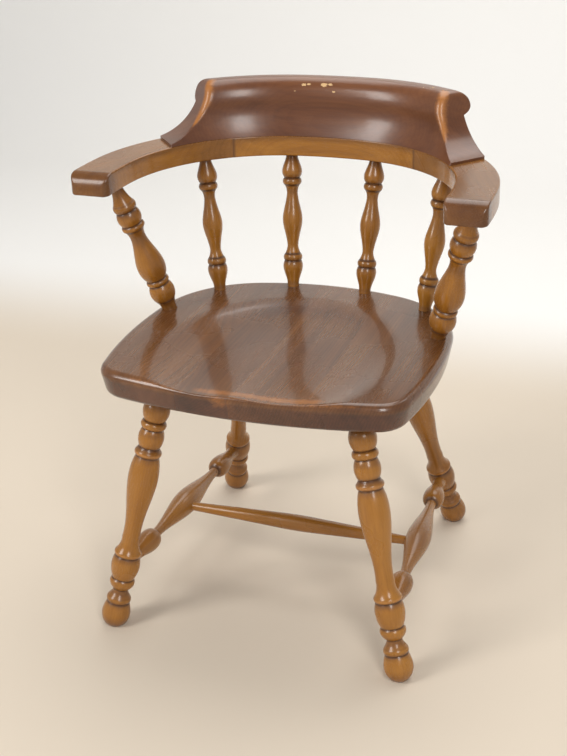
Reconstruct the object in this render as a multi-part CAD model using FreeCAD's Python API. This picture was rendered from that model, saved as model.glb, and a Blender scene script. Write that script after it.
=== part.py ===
import FreeCAD, Part
import math
import os

# Captain's chair, glued up from solid wood. Millimetres, +Z up.
# The origin is on the floor below the middle of the chair's overall box.
# The chair faces -Y, and the side named right is at +X, as seen by someone who stands in front of it.
# The two halves are mirror images apart from the seams of the seat, so a place along X is given for +X.

# Seat plank
seat_height = 432.0               # floor to the rim of the seat
seat_thickness = 44.0
seat_half_width = 245.0
seat_widest_y = -62.3             # where the seat is widest
seat_front_y = -255.3
seat_back_y = 188.7
seat_front_radius = 900.0         # plan radius of the front edge
seat_side_radius = 700.0
seat_back_radius = 420.0
seat_front_corner = 52.0          # plan radius of the front corners
seat_back_corner = 168.0
seat_undercut = 9.0               # how far the sides slope in towards the underside
seat_top_round = 11.0
seat_bottom_round = 11.0
seat_middle_seam_x = -12.0        # glue seam between the two middle boards
seat_outer_seam_share = 0.5       # outer seams, between the holes of the inner spindle and of the rear leg

# Hollow worked into the top of the seat
dish_depth = 11.0
dish_side_rim = 70.0              # flat rim left at the widest part of the seat
dish_back_rim = 77.0              # flat rim left behind the hollow
dish_half_length = 214.0          # the hollow runs out through the front edge
dish_steepness = 4.0              # power of the slope up to the rim
dish_grid = 19                    # stations of the worked surface, each way
pommel_height = 4.5               # low ridge between the thighs at the front edge
pommel_half_width = 45.0
pommel_length = 203.0             # from the front edge back to where it dies out

# Legs: places on the underside of the seat, inside its widest and foremost or rearmost lines
front_leg_side_inset = 95.2
front_leg_end_inset = 87.4
rear_leg_side_inset = 117.4
rear_leg_end_inset = 87.0
front_leg_splay = 11.755          # degrees out to the side
front_leg_rake = 9.622            # degrees forward
rear_leg_splay = 11.562
rear_leg_rake = 18.133            # degrees backward

# Turning pattern of a leg, from the foot up
foot_ball_height = 17.0           # height of the middle of the ball foot
leg_foot_diameter = 43.6
leg_foot_length = 43.5
leg_foot_below = 20.5             # how much of it is below the middle of the ball, before the floor cut
leg_foot_neck_diameter = 34.0
leg_ring_diameter = 37.5
leg_ring_width = 9.5
leg_waist_diameter = 23.6
leg_waist_length = 13.0
leg_upper_ring_width = 19.0
leg_bulb_diameter = 44.0
leg_bulb_length = 39.5
leg_bulb_widest = 19.7            # from its lower end
leg_bulb_end_diameter = 35.0
leg_collar_diameter = 41.5
leg_collar_width = 9.0
leg_flare_length = 22.0
leg_vase_foot_diameter = 27.6
leg_vase_diameter = 45.6
leg_vase_top_diameter = 34.6
leg_cap_ring_diameter = 41.0
leg_cap_ring_width = 10.0
leg_cap_slope_diameter = 36.5     # lower end of the slope above the cap ring
leg_cap_slope_length = 4.5
leg_bead_diameter = 38.8
leg_bead_length = 30.0
leg_bead_end_diameter = 31.0
leg_top_ring_diameter = 38.6
leg_top_ring_width = 13.0
leg_top_bead_diameter = 40.6
leg_top_bead_length = 32.5
leg_neck_length = 16.0
leg_tenon_diameter = 27.0
leg_tenon_show = 5.0              # straight run that shows below the seat
leg_tenon_cover = 17.0            # wood left over the tenon, measured from the rim of the seat

# Side stretchers
stretcher_over_bulb = 0.3         # joint above the widest part of the leg's bulb
side_stretcher_end_diameter = 21.5
side_stretcher_end_show = 3.0     # straight run that shows outside the leg
side_stretcher_depth = 14.0       # end inside the leg, from the widest diameter of the bulb
side_stretcher_ball_diameter = 34.5
side_stretcher_ball_place = 81.0  # leg axis to the widest part of the ball
side_stretcher_ball_nose = 15.0   # from there to the neck
side_stretcher_neck_diameter = 15.6
side_stretcher_middle_diameter = 39.5

# Cross stretcher
cross_stretcher_place = 0.474     # share of the side stretcher, from the front leg
cross_stretcher_end_diameter = 14.0
cross_stretcher_depth = 14.0      # end inside the side stretcher
cross_stretcher_swell_diameter = 25.2
cross_stretcher_middle_diameter = 26.5
cross_stretcher_swell = 60.0      # length of the rounded middle

# Bow: the flat arm rail bent round the sitter, in three pieces
bow_over_seat = 214.0             # rim of the seat to the underside of the bow
bow_thickness = 32.0
bow_width = 61.0
bow_inner_back_y = 176.7
bow_inner_half_width = 245.7
bow_widest_y = -77.3
bow_back_radius = 500.0           # plan radii of the inner edge
bow_corner_radius = 215.0
bow_side_radius = 700.0
bow_joint_angle = 57.5            # glue line of arm and back piece, about the middle of the corner arc
bow_edge_round = 2.5
arm_tip_y = -102.3
arm_tip_face = 11.0               # height of the upright end face, below the rolled top
arm_tip_corner = 12.0             # plan radius of the two corners of the tip

# Crest rail standing on the bow
crest_height = 84.5
crest_waist_inset = 16.0          # the scooped front face, measured back from the inner edge of the bow
crest_waist_height = 49.0
crest_roll_depth = 26.0           # front to back depth of the rolled top edge in front
crest_crown_inset = 50.0          # back end of the level strip along the top
crest_roll_inset = 76.5           # the top rolls out backwards, past the outer edge of the bow
crest_roll_height = 63.0          # where it stands out furthest
crest_nib_height = 50.0           # the upright back ends in a crease below the roll
crest_cut_angle = 40.0            # direction of the saw cut at each end, from the Y axis
crest_foot_angle = 33.95          # foot of the cut at the outer edge of the bow, about the corner arc
crest_lip = 4.0                   # blunt step at the foot of each end
crest_end_run = 88.0              # from the foot back to where the top edge starts to turn down
crest_shoulder_run = 70.5         # from the foot back to where the sweep turns over into the top
crest_shoulder_height = 66.0

# Spindles and arm posts
inner_spindle_seat_inset = 18.5   # stick centres inside the edge of the seat
outer_spindle_seat_inset = 20.7
post_seat_inset = 23.1
stick_bow_inset = 28.0            # stick centres outside the inner edge of the bow
inner_spindle_seat_angle = 8.7    # from the middle of the back, about the back arc of the seat
outer_spindle_seat_angle = 47.5   # about the back corner arc of the seat
post_seat_angle = 3.5
inner_spindle_bow_angle = 7.55    # from the middle of the back, about the back arc of the bow
outer_spindle_bow_angle = 47.3    # about the corner arc of the bow
post_bow_setback = 74.4           # behind the tip of the arm
stick_seat_depth = 22.0           # depth of the tenons below the rim of the seat
stick_bow_cover = 13.0            # wood left over the tenons in the bow
stick_tenon_show = 3.0            # straight run that shows at both ends

# Turning pattern of a back spindle, from the seat up
spindle_foot_diameter = 19.0
spindle_foot_length = 17.5
spindle_bulb_diameter = 32.0
spindle_bulb_length = 21.0
spindle_groove_diameter = 25.0
spindle_bead_diameter = 30.4
spindle_bead_width = 11.5
spindle_cove_length = 13.0
spindle_neck_diameter = 17.5
spindle_vase_diameter = 32.0
spindle_top_bulb_length = 38.5
spindle_top_diameter = 18.4

# Turning pattern of an arm post, from the seat up
post_foot_diameter = 23.0
post_foot_length = 14.5
post_ball_diameter = 40.2
post_ball_length = 29.0
post_groove_diameter = 31.0
post_ring_diameter = 36.6
post_ring_width = 9.5
post_vase_diameter = 44.4
post_neck_diameter = 24.2
post_neck_to_bead = 15.0
post_upper_ball_diameter = 38.2
post_upper_ball_length = 23.0
post_top_ring_width = 12.5
post_top_diameter = 18.0
post_top_neck_length = 32.5

# Dowels
dowel_diameter = 10.0
dowel_chamfer = 1.0
bow_dowel_length = 36.0
bow_dowel_spacing = 28.0
bow_dowel_height = 12.0           # above the underside of the bow
crest_dowel_length = 35.0
crest_dowel_in_bow = 13.0
crest_dowel_inset = 38.5          # outside the inner edge of the bow
crest_dowel_angles = (70.0, 52.7)  # about the corner arc; a fifth dowel is in the middle of the back

# Fits
glue_gap = 0.1                    # between a tenon or dowel and the wall of its hole
socket_bottom_gap = 1.0           # spare depth below a tenon or dowel

# Values that follow from the sizes above
seat_underside = seat_height - seat_thickness
bow_underside = seat_height + bow_over_seat
bow_top = bow_underside + bow_thickness
arm_tip_roll = bow_thickness - arm_tip_face
dish_half_width = seat_half_width - dish_side_rim
dish_centre_y = seat_back_y - dish_back_rim - dish_half_length
outside = 2.0 * seat_half_width   # a length that reaches clear of any one piece
up = FreeCAD.Vector(0, 0, 1)
down = FreeCAD.Vector(0, 0, -1)


def vec(x, y, z):
    return FreeCAD.Vector(x, y, z)


def mirrored(shape):
    return shape.mirror(vec(0, 0, 0), vec(1, 0, 0))


def unit(a, b):
    """Direction from a to b."""
    d = b.sub(a)
    return d.multiply(1.0 / d.Length)


def along(a, direction, distance):
    return a.add(FreeCAD.Vector(direction).multiply(distance))


def on_circle(centre, radius, angle):
    a = math.radians(angle)
    return (centre[0] + radius * math.cos(a), centre[1] + radius * math.sin(a))


def angle_of(centre, point):
    return math.degrees(math.atan2(point[1] - centre[1], point[0] - centre[0]))


def arc(centre, radius, start, end, z):
    """Plan arc from one angle to another, at height z."""
    points = [on_circle(centre, radius, start + (end - start) * share) for share in (0.0, 0.5, 1.0)]
    return Part.Arc(*[vec(x, y, z) for x, y in points]).toShape()


def corner_centre(centre_a, radius_a, centre_b, radius_b, corner):
    """Centre, on the +X side, of a corner arc that runs tangent inside two circles."""
    ra = radius_a - corner
    rb = radius_b - corner
    dx = centre_b[0] - centre_a[0]
    dy = centre_b[1] - centre_a[1]
    d = math.hypot(dx, dy)
    reach = (ra * ra - rb * rb + d * d) / (2.0 * d)
    rise = math.sqrt(ra * ra - reach * reach)
    foot_x = centre_a[0] + reach * dx / d
    foot_y = centre_a[1] + reach * dy / d
    first = (foot_x + rise * dy / d, foot_y - rise * dx / d)
    second = (foot_x - rise * dy / d, foot_y + rise * dx / d)
    return max(first, second)


# Middles of the arcs that make up the outlines of the seat and of the bow
seat_back_centre = (0.0, seat_back_y - seat_back_radius)
seat_front_centre = (0.0, seat_front_y + seat_front_radius)
seat_side_centre = (seat_half_width - seat_side_radius, seat_widest_y)
seat_back_corner_centre = corner_centre(seat_back_centre, seat_back_radius, seat_side_centre,
                                        seat_side_radius, seat_back_corner)
seat_front_corner_centre = corner_centre(seat_front_centre, seat_front_radius, seat_side_centre,
                                         seat_side_radius, seat_front_corner)
bow_back_centre = (0.0, bow_inner_back_y - bow_back_radius)
bow_side_centre = (bow_inner_half_width - bow_side_radius, bow_widest_y)
bow_corner_centre = corner_centre(bow_back_centre, bow_back_radius, bow_side_centre, bow_side_radius,
                                  bow_corner_radius)
bow_back_turn = angle_of(bow_back_centre, bow_corner_centre)
bow_side_turn = angle_of(bow_side_centre, bow_corner_centre)


class Turning:
    """Half outline of a turned piece, drawn along X with the radius along Y."""

    def __init__(self, start, diameter):
        self.start = start
        self.place = start
        self.diameter = diameter
        self.edges = []
        self.line_to(start, 0.0, diameter)

    def line_to(self, place, old_diameter, diameter):
        a = vec(self.place, old_diameter / 2.0, 0)
        b = vec(place, diameter / 2.0, 0)
        self.edges.append(Part.makeLine(a, b))
        self.place = place
        self.diameter = diameter

    def taper(self, length, diameter):
        """Straight run."""
        self.line_to(self.place + length, self.diameter, diameter)

    def bead(self, length, greatest, end):
        """Round ring or ball: one arc through its greatest diameter at mid length."""
        a = vec(self.place, self.diameter / 2.0, 0)
        b = vec(self.place + length / 2.0, greatest / 2.0, 0)
        c = vec(self.place + length, end / 2.0, 0)
        self.edges.append(Part.Arc(a, b, c).toShape())
        self.place += length
        self.diameter = end

    def curve(self, length, stations):
        """Smooth curve through stations, each a share of the length and a diameter."""
        points = [vec(self.place, self.diameter / 2.0, 0)]
        for share, diameter in stations:
            points.append(vec(self.place + share * length, diameter / 2.0, 0))
        spline = Part.BSplineCurve()
        spline.interpolate(points)
        self.edges.append(spline.toShape())
        self.place += length
        self.diameter = stations[-1][1]

    def solid(self, base, direction):
        """The turned solid, its axis laid from base along direction."""
        self.line_to(self.place, self.diameter, 0.0)
        self.edges.append(Part.makeLine(vec(self.place, 0, 0), vec(self.start, 0, 0)))
        face = Part.Face(Part.Wire(Part.__sortEdges__(self.edges)))
        body = face.revolve(vec(0, 0, 0), vec(1, 0, 0), 360)
        body.Placement = FreeCAD.Placement(base, FreeCAD.Rotation(vec(1, 0, 0), direction))
        return body


def socket(mouth, direction, diameter, depth):
    """Blind hole for a tenon or dowel, run out past its mouth and with spare depth at its bottom."""
    run_out = 1.5 * diameter
    length = run_out + depth + socket_bottom_gap
    return Part.makeCylinder(diameter / 2.0 + glue_gap, length, along(mouth, direction, -run_out), direction)


def seat_outline(inset, z):
    """Closed outline of the seat, a given distance inside its widest edge."""
    back_turn = angle_of(seat_back_centre, seat_back_corner_centre)
    side_back_turn = angle_of(seat_side_centre, seat_back_corner_centre)
    side_front_turn = angle_of(seat_side_centre, seat_front_corner_centre)
    front_turn = angle_of(seat_front_centre, seat_front_corner_centre)
    half = [
        arc(seat_back_corner_centre, seat_back_corner - inset, side_back_turn, back_turn, z),
        arc(seat_side_centre, seat_side_radius - inset, side_front_turn, side_back_turn, z),
        arc(seat_front_corner_centre, seat_front_corner - inset, front_turn, side_front_turn, z),
    ]
    edges = list(half)
    edges.append(arc(seat_back_centre, seat_back_radius - inset, back_turn, 180.0 - back_turn, z))
    edges.extend(mirrored(edge) for edge in half)
    edges.append(arc(seat_front_centre, seat_front_radius - inset, front_turn, -180.0 - front_turn, z))
    return Part.Wire(Part.__sortEdges__(edges))


def seat_level(x, y):
    """Height of the worked top: the hollow is a power of the elliptical distance from its middle."""
    distance = math.hypot(x / dish_half_width, (y - dish_centre_y) / dish_half_length)
    hollow = dish_depth * (distance ** dish_steepness - 1.0)
    forward = max(seat_front_y + pommel_length - y, 0.0) / pommel_length
    ridge = pommel_height * forward * forward * math.exp(-(x / pommel_half_width) ** 2)
    return seat_height + hollow + ridge


def dish_cutter():
    """Solid above the worked top of the seat; past the rim of the hollow it is clear of the seat."""
    margin = 0.1 * dish_half_length
    half_x = dish_half_width + margin
    back_y = dish_centre_y + dish_half_length + margin
    front_y = seat_front_y - margin
    grid = []
    for i in range(dish_grid):
        x = -half_x + 2.0 * half_x * i / (dish_grid - 1)
        ys = [front_y + (back_y - front_y) * j / (dish_grid - 1) for j in range(dish_grid)]
        grid.append([vec(x, y, seat_level(x, y)) for y in ys])
    surface = Part.BSplineSurface()
    surface.interpolate(grid)
    return surface.toShape().extrude(vec(0, 0, 3.0 * dish_depth))


def leg_axis(row):
    """Middle of the ball foot and the point where the leg axis meets the seat, on the +X side."""
    if row == "front":
        top_x = seat_half_width - front_leg_side_inset
        top_y = seat_front_y + front_leg_end_inset
        splay = math.radians(front_leg_splay)
        rake = -math.radians(front_leg_rake)
    else:
        top_x = seat_half_width - rear_leg_side_inset
        top_y = seat_back_y - rear_leg_end_inset
        splay = math.radians(rear_leg_splay)
        rake = math.radians(rear_leg_rake)
    drop = seat_underside - foot_ball_height
    foot = vec(top_x + drop * math.tan(splay), top_y + drop * math.tan(rake), foot_ball_height)
    return foot, vec(top_x, top_y, seat_underside)


def leg_tenon_depth(direction):
    """Depth of the leg tenon along the leg axis."""
    return (seat_thickness - leg_tenon_cover) / direction.z


def seat_stick_point(centre, radius, angle):
    x, y = on_circle(centre, radius, angle)
    return vec(x, y, seat_height)


def bow_stick_point(centre, radius, angle):
    x, y = on_circle(centre, radius + stick_bow_inset, angle)
    return vec(x, y, bow_underside)


def inner_spindle_axis():
    """Where the axis of the inner back spindle on the +X side meets the seat and the bow."""
    reach = seat_back_radius - inner_spindle_seat_inset
    foot = seat_stick_point(seat_back_centre, reach, 90.0 - inner_spindle_seat_angle)
    return foot, bow_stick_point(bow_back_centre, bow_back_radius, 90.0 - inner_spindle_bow_angle)


def outer_spindle_axis():
    reach = seat_back_corner - outer_spindle_seat_inset
    foot = seat_stick_point(seat_back_corner_centre, reach, outer_spindle_seat_angle)
    return foot, bow_stick_point(bow_corner_centre, bow_corner_radius, outer_spindle_bow_angle)


def post_axis():
    foot = seat_stick_point(seat_back_corner_centre, seat_back_corner - post_seat_inset, post_seat_angle)
    y = arm_tip_y + post_bow_setback
    return foot, vec(bow_side_x(y, stick_bow_inset), y, bow_underside)


def seat_stick_socket(axis, diameter):
    foot, top = axis
    direction = unit(top, foot)
    return socket(foot, direction, diameter, -stick_seat_depth / direction.z)


def bow_stick_socket(axis, diameter):
    foot, top = axis
    direction = unit(foot, top)
    return socket(top, direction, diameter, (bow_thickness - stick_bow_cover) / direction.z)


def seat_sockets():
    """The four leg holes from below and the six stick holes from above."""
    half = []
    for row in ("front", "rear"):
        foot, top = leg_axis(row)
        direction = unit(foot, top)
        half.append(socket(top, direction, leg_tenon_diameter, leg_tenon_depth(direction)))
    half.append(seat_stick_socket(inner_spindle_axis(), spindle_foot_diameter))
    half.append(seat_stick_socket(outer_spindle_axis(), spindle_foot_diameter))
    half.append(seat_stick_socket(post_axis(), post_foot_diameter))
    return half + [mirrored(hole) for hole in half]


def seat_plank():
    """The whole seat, worked and bored, before it is parted into its boards."""
    wires = [seat_outline(seat_undercut, seat_underside), seat_outline(0.0, seat_height)]
    plank = Part.makeLoft(wires, True, True)
    bottom = [e for e in plank.Edges if abs(e.BoundBox.ZMax - seat_underside) < 0.01]
    plank = plank.makeFillet(seat_bottom_round, bottom)
    top = [e for e in plank.Edges if abs(e.BoundBox.ZMin - seat_height) < 0.01]
    plank = plank.makeFillet(seat_top_round, top)
    return plank.cut(dish_cutter()).cut(seat_sockets())


def seat_outer_seam():
    """Place of the seam on the +X side, in the wood that no hole of a leg or stick crosses."""
    near = inner_spindle_axis()[0].x + spindle_foot_diameter / 2.0
    far = leg_axis("rear")[1].x - leg_tenon_diameter / 2.0
    return near + seat_outer_seam_share * (far - near)


def seat_boards():
    """The boards of the seat, glued edge to edge, from the left."""
    plank = seat_plank()
    seam = seat_outer_seam()
    places = [-outside, -seam, seat_middle_seam_x, seam, outside]
    boards = []
    for left, right in zip(places, places[1:]):
        slab = Part.makeBox(right - left, 2.0 * outside, seat_height, vec(left, -outside, seat_underside))
        boards.append(plank.common(slab))
    return boards


def leg_bulb_start():
    """Lower end of the leg's bulb, along the leg axis from the middle of the ball foot."""
    foot_end = leg_foot_length - leg_foot_below
    return foot_end + leg_ring_width + leg_waist_length + leg_upper_ring_width


def side_stretcher_axis():
    """Where the axis of the right side stretcher meets the axes of the front and the rear leg."""
    up_leg = leg_bulb_start() + leg_bulb_widest + stretcher_over_bulb
    ends = []
    for row in ("front", "rear"):
        foot, top = leg_axis(row)
        ends.append(along(foot, unit(foot, top), up_leg))
    return ends


def side_stretcher_start():
    """End of the side stretcher inside the leg, from the leg axis."""
    return leg_bulb_diameter / 2.0 - side_stretcher_depth


def leg(row):
    """Turned leg on the +X side, cut level with the floor and bored for the side stretcher."""
    foot, top = leg_axis(row)
    direction = unit(foot, top)
    t = Turning(-leg_foot_below, leg_foot_neck_diameter * 0.45)
    t.curve(leg_foot_length, [(0.2, leg_foot_diameter * 0.82),
                              (leg_foot_below / leg_foot_length, leg_foot_diameter),
                              (0.76, leg_foot_diameter * 0.94), (1.0, leg_foot_neck_diameter)])
    t.bead(leg_ring_width, leg_ring_diameter, leg_ring_diameter * 0.92)
    t.curve(leg_waist_length, [(0.45, leg_waist_diameter * 1.13), (0.8, leg_waist_diameter),
                               (1.0, leg_waist_diameter)])
    t.curve(leg_upper_ring_width, [(0.22, leg_ring_diameter * 0.85), (0.48, leg_ring_diameter),
                                   (1.0, leg_bulb_end_diameter * 0.94)])
    t.curve(leg_bulb_length, [(0.25, leg_bulb_diameter * 0.92),
                              (leg_bulb_widest / leg_bulb_length, leg_bulb_diameter),
                              (1.0, leg_bulb_end_diameter * 1.06)])
    t.bead(leg_collar_width, leg_collar_diameter, leg_collar_diameter * 0.9)
    t.curve(leg_flare_length, [(0.3, leg_vase_foot_diameter * 1.12), (1.0, leg_vase_foot_diameter)])
    above = (leg_cap_ring_width + leg_cap_slope_length + leg_bead_length + leg_top_ring_width
             + leg_top_bead_length + leg_neck_length + leg_tenon_show)
    vase = top.sub(foot).Length - t.place - above
    t.curve(vase, [(0.3, leg_vase_foot_diameter * 1.12), (0.76, leg_vase_diameter),
                   (1.0, leg_vase_top_diameter)])
    t.bead(leg_cap_ring_width, leg_cap_ring_diameter, leg_cap_slope_diameter)
    t.taper(leg_cap_slope_length, leg_bead_end_diameter)
    t.bead(leg_bead_length, leg_bead_diameter, leg_bead_end_diameter)
    t.bead(leg_top_ring_width, leg_top_ring_diameter, leg_bead_end_diameter)
    t.bead(leg_top_bead_length, leg_top_bead_diameter, leg_bead_end_diameter)
    t.curve(leg_neck_length, [(0.5, leg_tenon_diameter * 1.04), (1.0, leg_tenon_diameter)])
    t.taper(leg_tenon_show + leg_tenon_depth(direction), leg_tenon_diameter)
    corner = vec(foot.x - outside / 2.0, foot.y - outside / 2.0, -outside)
    floor_slab = Part.makeBox(outside, outside, outside, corner)
    front, rear = side_stretcher_axis()
    joint, other = (front, rear) if row == "front" else (rear, front)
    inwards = unit(other, joint)
    mouth = along(joint, inwards, -leg_bulb_diameter / 2.0)
    hole = socket(mouth, inwards, side_stretcher_end_diameter, side_stretcher_depth)
    return t.solid(foot, direction).cut(floor_slab).cut(hole)


def side_stretcher():
    """Turned stretcher between front and rear leg on the +X side, the same at both ends."""
    front, rear = side_stretcher_axis()
    end = side_stretcher_end_diameter
    ball = side_stretcher_ball_diameter
    neck = side_stretcher_neck_diameter
    middle = side_stretcher_middle_diameter
    straight = side_stretcher_depth + side_stretcher_end_show
    cone = side_stretcher_ball_place + side_stretcher_ball_nose - side_stretcher_start() - straight
    run = rear.sub(front).Length - 2.0 * (side_stretcher_ball_place + side_stretcher_ball_nose)
    t = Turning(side_stretcher_start(), end)
    t.taper(straight, end)
    t.curve(cone, [(0.36, end * 1.18), (0.78, ball), (0.93, ball * 0.82), (1.0, neck)])
    t.curve(run, [(0.12, neck * 1.13), (0.36, middle * 0.86), (0.5, middle), (0.64, middle * 0.86),
                  (0.88, neck * 1.13), (1.0, neck)])
    t.curve(cone, [(0.07, ball * 0.82), (0.22, ball), (0.64, end * 1.18), (1.0, end)])
    t.taper(straight, end)
    hole = socket(cross_stretcher_mouth(), vec(1, 0, 0), cross_stretcher_end_diameter, cross_stretcher_depth)
    return t.solid(front, unit(front, rear)).cut(hole)


def cross_stretcher_mouth():
    """Where the axis of the cross stretcher enters the right side stretcher."""
    front, rear = side_stretcher_axis()
    crossing = along(front, unit(front, rear), cross_stretcher_place * rear.sub(front).Length)
    return vec(crossing.x - side_stretcher_middle_diameter / 2.0, crossing.y, crossing.z)


def cross_stretcher():
    """Plain double taper between the side stretchers."""
    mouth = cross_stretcher_mouth()
    run = mouth.x - cross_stretcher_swell / 2.0
    end = cross_stretcher_end_diameter
    t = Turning(-mouth.x - cross_stretcher_depth, end)
    t.taper(cross_stretcher_depth, end)
    t.taper(run, cross_stretcher_swell_diameter)
    t.bead(cross_stretcher_swell, cross_stretcher_middle_diameter, cross_stretcher_swell_diameter)
    t.taper(run, end)
    t.taper(cross_stretcher_depth, end)
    return t.solid(vec(0, mouth.y, mouth.z), vec(1, 0, 0))


def spindle(axis):
    """Turned back spindle; the vase in the middle takes up the length that is left."""
    foot, top = axis
    direction = unit(foot, top)
    neck = spindle_neck_diameter
    groove = spindle_groove_diameter
    t = Turning(-stick_seat_depth / direction.z, spindle_foot_diameter)
    t.taper(stick_seat_depth / direction.z + stick_tenon_show, spindle_foot_diameter)
    t.curve(spindle_foot_length + spindle_bulb_length,
            [(0.25, spindle_foot_diameter * 1.16), (0.77, spindle_bulb_diameter), (1.0, groove * 1.08)])
    t.bead(spindle_bead_width, spindle_bead_diameter, groove)
    t.curve(spindle_cove_length, [(0.3, neck * 1.23), (0.65, neck * 1.07), (1.0, neck)])
    above = spindle_cove_length + spindle_bead_width + spindle_top_bulb_length + stick_tenon_show
    vase = top.sub(foot).Length - t.place - above
    t.curve(vase, [(0.25, spindle_vase_diameter * 0.78), (0.5, spindle_vase_diameter),
                   (0.75, spindle_vase_diameter * 0.78), (1.0, neck)])
    t.curve(spindle_cove_length, [(0.35, neck * 1.05), (0.7, neck * 1.17), (1.0, groove)])
    t.bead(spindle_bead_width, spindle_bead_diameter, groove)
    t.curve(spindle_top_bulb_length, [(0.26, spindle_bulb_diameter), (0.66, spindle_top_diameter * 1.28),
                                      (1.0, spindle_top_diameter)])
    t.taper(stick_tenon_show + (bow_thickness - stick_bow_cover) / direction.z, spindle_top_diameter)
    return t.solid(foot, direction)


def arm_post():
    """Turned post under the arm on the +X side; its vase takes up the length that is left."""
    foot, top = post_axis()
    direction = unit(foot, top)
    groove = post_groove_diameter
    t = Turning(-stick_seat_depth / direction.z, post_foot_diameter)
    t.taper(stick_seat_depth / direction.z + stick_tenon_show, post_foot_diameter)
    t.curve(post_foot_length, [(0.5, post_foot_diameter * 1.1), (1.0, groove)])
    t.bead(post_ball_length, post_ball_diameter, groove)
    t.bead(post_ring_width, post_ring_diameter, groove)
    above = (post_neck_to_bead + post_ring_width + post_upper_ball_length + post_top_ring_width
             + post_top_neck_length + stick_tenon_show)
    vase = top.sub(foot).Length - t.place - above
    t.curve(vase, [(0.28, post_vase_diameter), (0.62, post_vase_diameter * 0.82), (1.0, post_neck_diameter)])
    t.curve(post_neck_to_bead, [(0.5, post_neck_diameter * 1.05), (1.0, groove)])
    t.bead(post_ring_width, post_ring_diameter, groove)
    t.bead(post_upper_ball_length, post_upper_ball_diameter, groove)
    t.bead(post_top_ring_width, post_ring_diameter, post_ring_diameter * 0.89)
    t.curve(post_top_neck_length, [(0.31, post_top_diameter * 1.36), (0.68, post_top_diameter * 1.06),
                                   (1.0, post_top_diameter)])
    t.taper(stick_tenon_show + (bow_thickness - stick_bow_cover) / direction.z, post_top_diameter)
    return t.solid(foot, direction)


def dowel(middle, direction, length):
    """Dowel pin with chamfered ends, given by the middle of its length."""
    base = along(middle, direction, -length / 2.0)
    pin = Part.makeCylinder(dowel_diameter / 2.0, length, base, direction)
    rims = [e for e in pin.Edges if e.Curve.TypeId == "Part::GeomCircle"]
    return pin.makeChamfer(dowel_chamfer, rims)


def bow_dowel_points():
    """Middles of the two dowels across the right glue line of the bow, and the direction they lie in."""
    a = math.radians(bow_joint_angle)
    square = vec(-math.sin(a), math.cos(a), 0)
    points = []
    for side in (-0.5, 0.5):
        radius = bow_corner_radius + bow_width / 2.0 + side * bow_dowel_spacing
        x, y = on_circle(bow_corner_centre, radius, bow_joint_angle)
        points.append(vec(x, y, bow_underside + bow_dowel_height))
    return points, square


def crest_dowel_points():
    """Points on top of the bow where the dowels of the crest stand, on the +X side and in the middle."""
    radius = bow_corner_radius + crest_dowel_inset
    side = [vec(*on_circle(bow_corner_centre, radius, angle), bow_top) for angle in crest_dowel_angles]
    middle = vec(0, bow_inner_back_y + crest_dowel_inset, bow_top)
    return side, middle


def bow_dowels():
    points, square = bow_dowel_points()
    return Part.makeCompound([dowel(point, square, bow_dowel_length) for point in points])


def crest_dowels():
    side, middle = crest_dowel_points()
    rise = crest_dowel_length / 2.0 - crest_dowel_in_bow
    right = [dowel(along(point, up, rise), up, crest_dowel_length) for point in side]
    left = [mirrored(pin) for pin in right]
    return Part.makeCompound(right + left + [dowel(along(middle, up, rise), up, crest_dowel_length)])


def bow_dowel_sockets(direction_sign):
    """Holes on one side of the right glue line: +1 in the back piece, -1 in the arm."""
    points, square = bow_dowel_points()
    direction = square.multiply(direction_sign)
    return [socket(point, direction, dowel_diameter, bow_dowel_length / 2.0) for point in points]


def crest_dowel_sockets(in_arm):
    """Holes in the top of the right arm, or in the right half of the back piece of the bow."""
    side, middle = crest_dowel_points()
    holes = []
    for point in side:
        if (angle_of(bow_corner_centre, (point.x, point.y)) < bow_joint_angle) == in_arm:
            holes.append(socket(point, down, dowel_diameter, crest_dowel_in_bow))
    return holes


def bow_side_x(y, inset):
    """X of a line along the straighter side of the arm, a given distance outside its inner edge."""
    radius = bow_side_radius + inset
    rise = y - bow_side_centre[1]
    return bow_side_centre[0] + math.sqrt(radius * radius - rise * rise)


def bow_joint_line():
    """Glue line of arm and back piece, on the underside of the bow."""
    inner = on_circle(bow_corner_centre, bow_corner_radius, bow_joint_angle)
    outer = on_circle(bow_corner_centre, bow_corner_radius + bow_width, bow_joint_angle)
    return Part.makeLine(vec(*inner, bow_underside), vec(*outer, bow_underside))


def arm_outline():
    """Plan of the right arm on the underside of the bow, with square corners."""
    edges = [bow_joint_line()]
    tips = []
    for inset in (0.0, bow_width):
        tip_x = bow_side_x(arm_tip_y, inset)
        tip_angle = angle_of(bow_side_centre, (tip_x, arm_tip_y))
        tips.append(vec(tip_x, arm_tip_y, bow_underside))
        edges.append(arc(bow_corner_centre, bow_corner_radius + inset, bow_joint_angle, bow_side_turn,
                         bow_underside))
        edges.append(arc(bow_side_centre, bow_side_radius + inset, bow_side_turn, tip_angle, bow_underside))
    edges.append(Part.makeLine(tips[0], tips[1]))
    return Part.Wire(Part.__sortEdges__(edges))


def long_edges(body):
    """The curved edges that run along a piece of the bow, at its top and underside."""
    found = []
    for edge in body.Edges:
        box = edge.BoundBox
        level = box.ZLength < 0.01 and min(abs(box.ZMin - bow_underside), abs(box.ZMin - bow_top)) < 0.01
        if level and edge.Curve.TypeId == "Part::GeomCircle" and edge.Curve.Radius > 2.0 * arm_tip_corner:
            found.append(edge)
    return found


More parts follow.
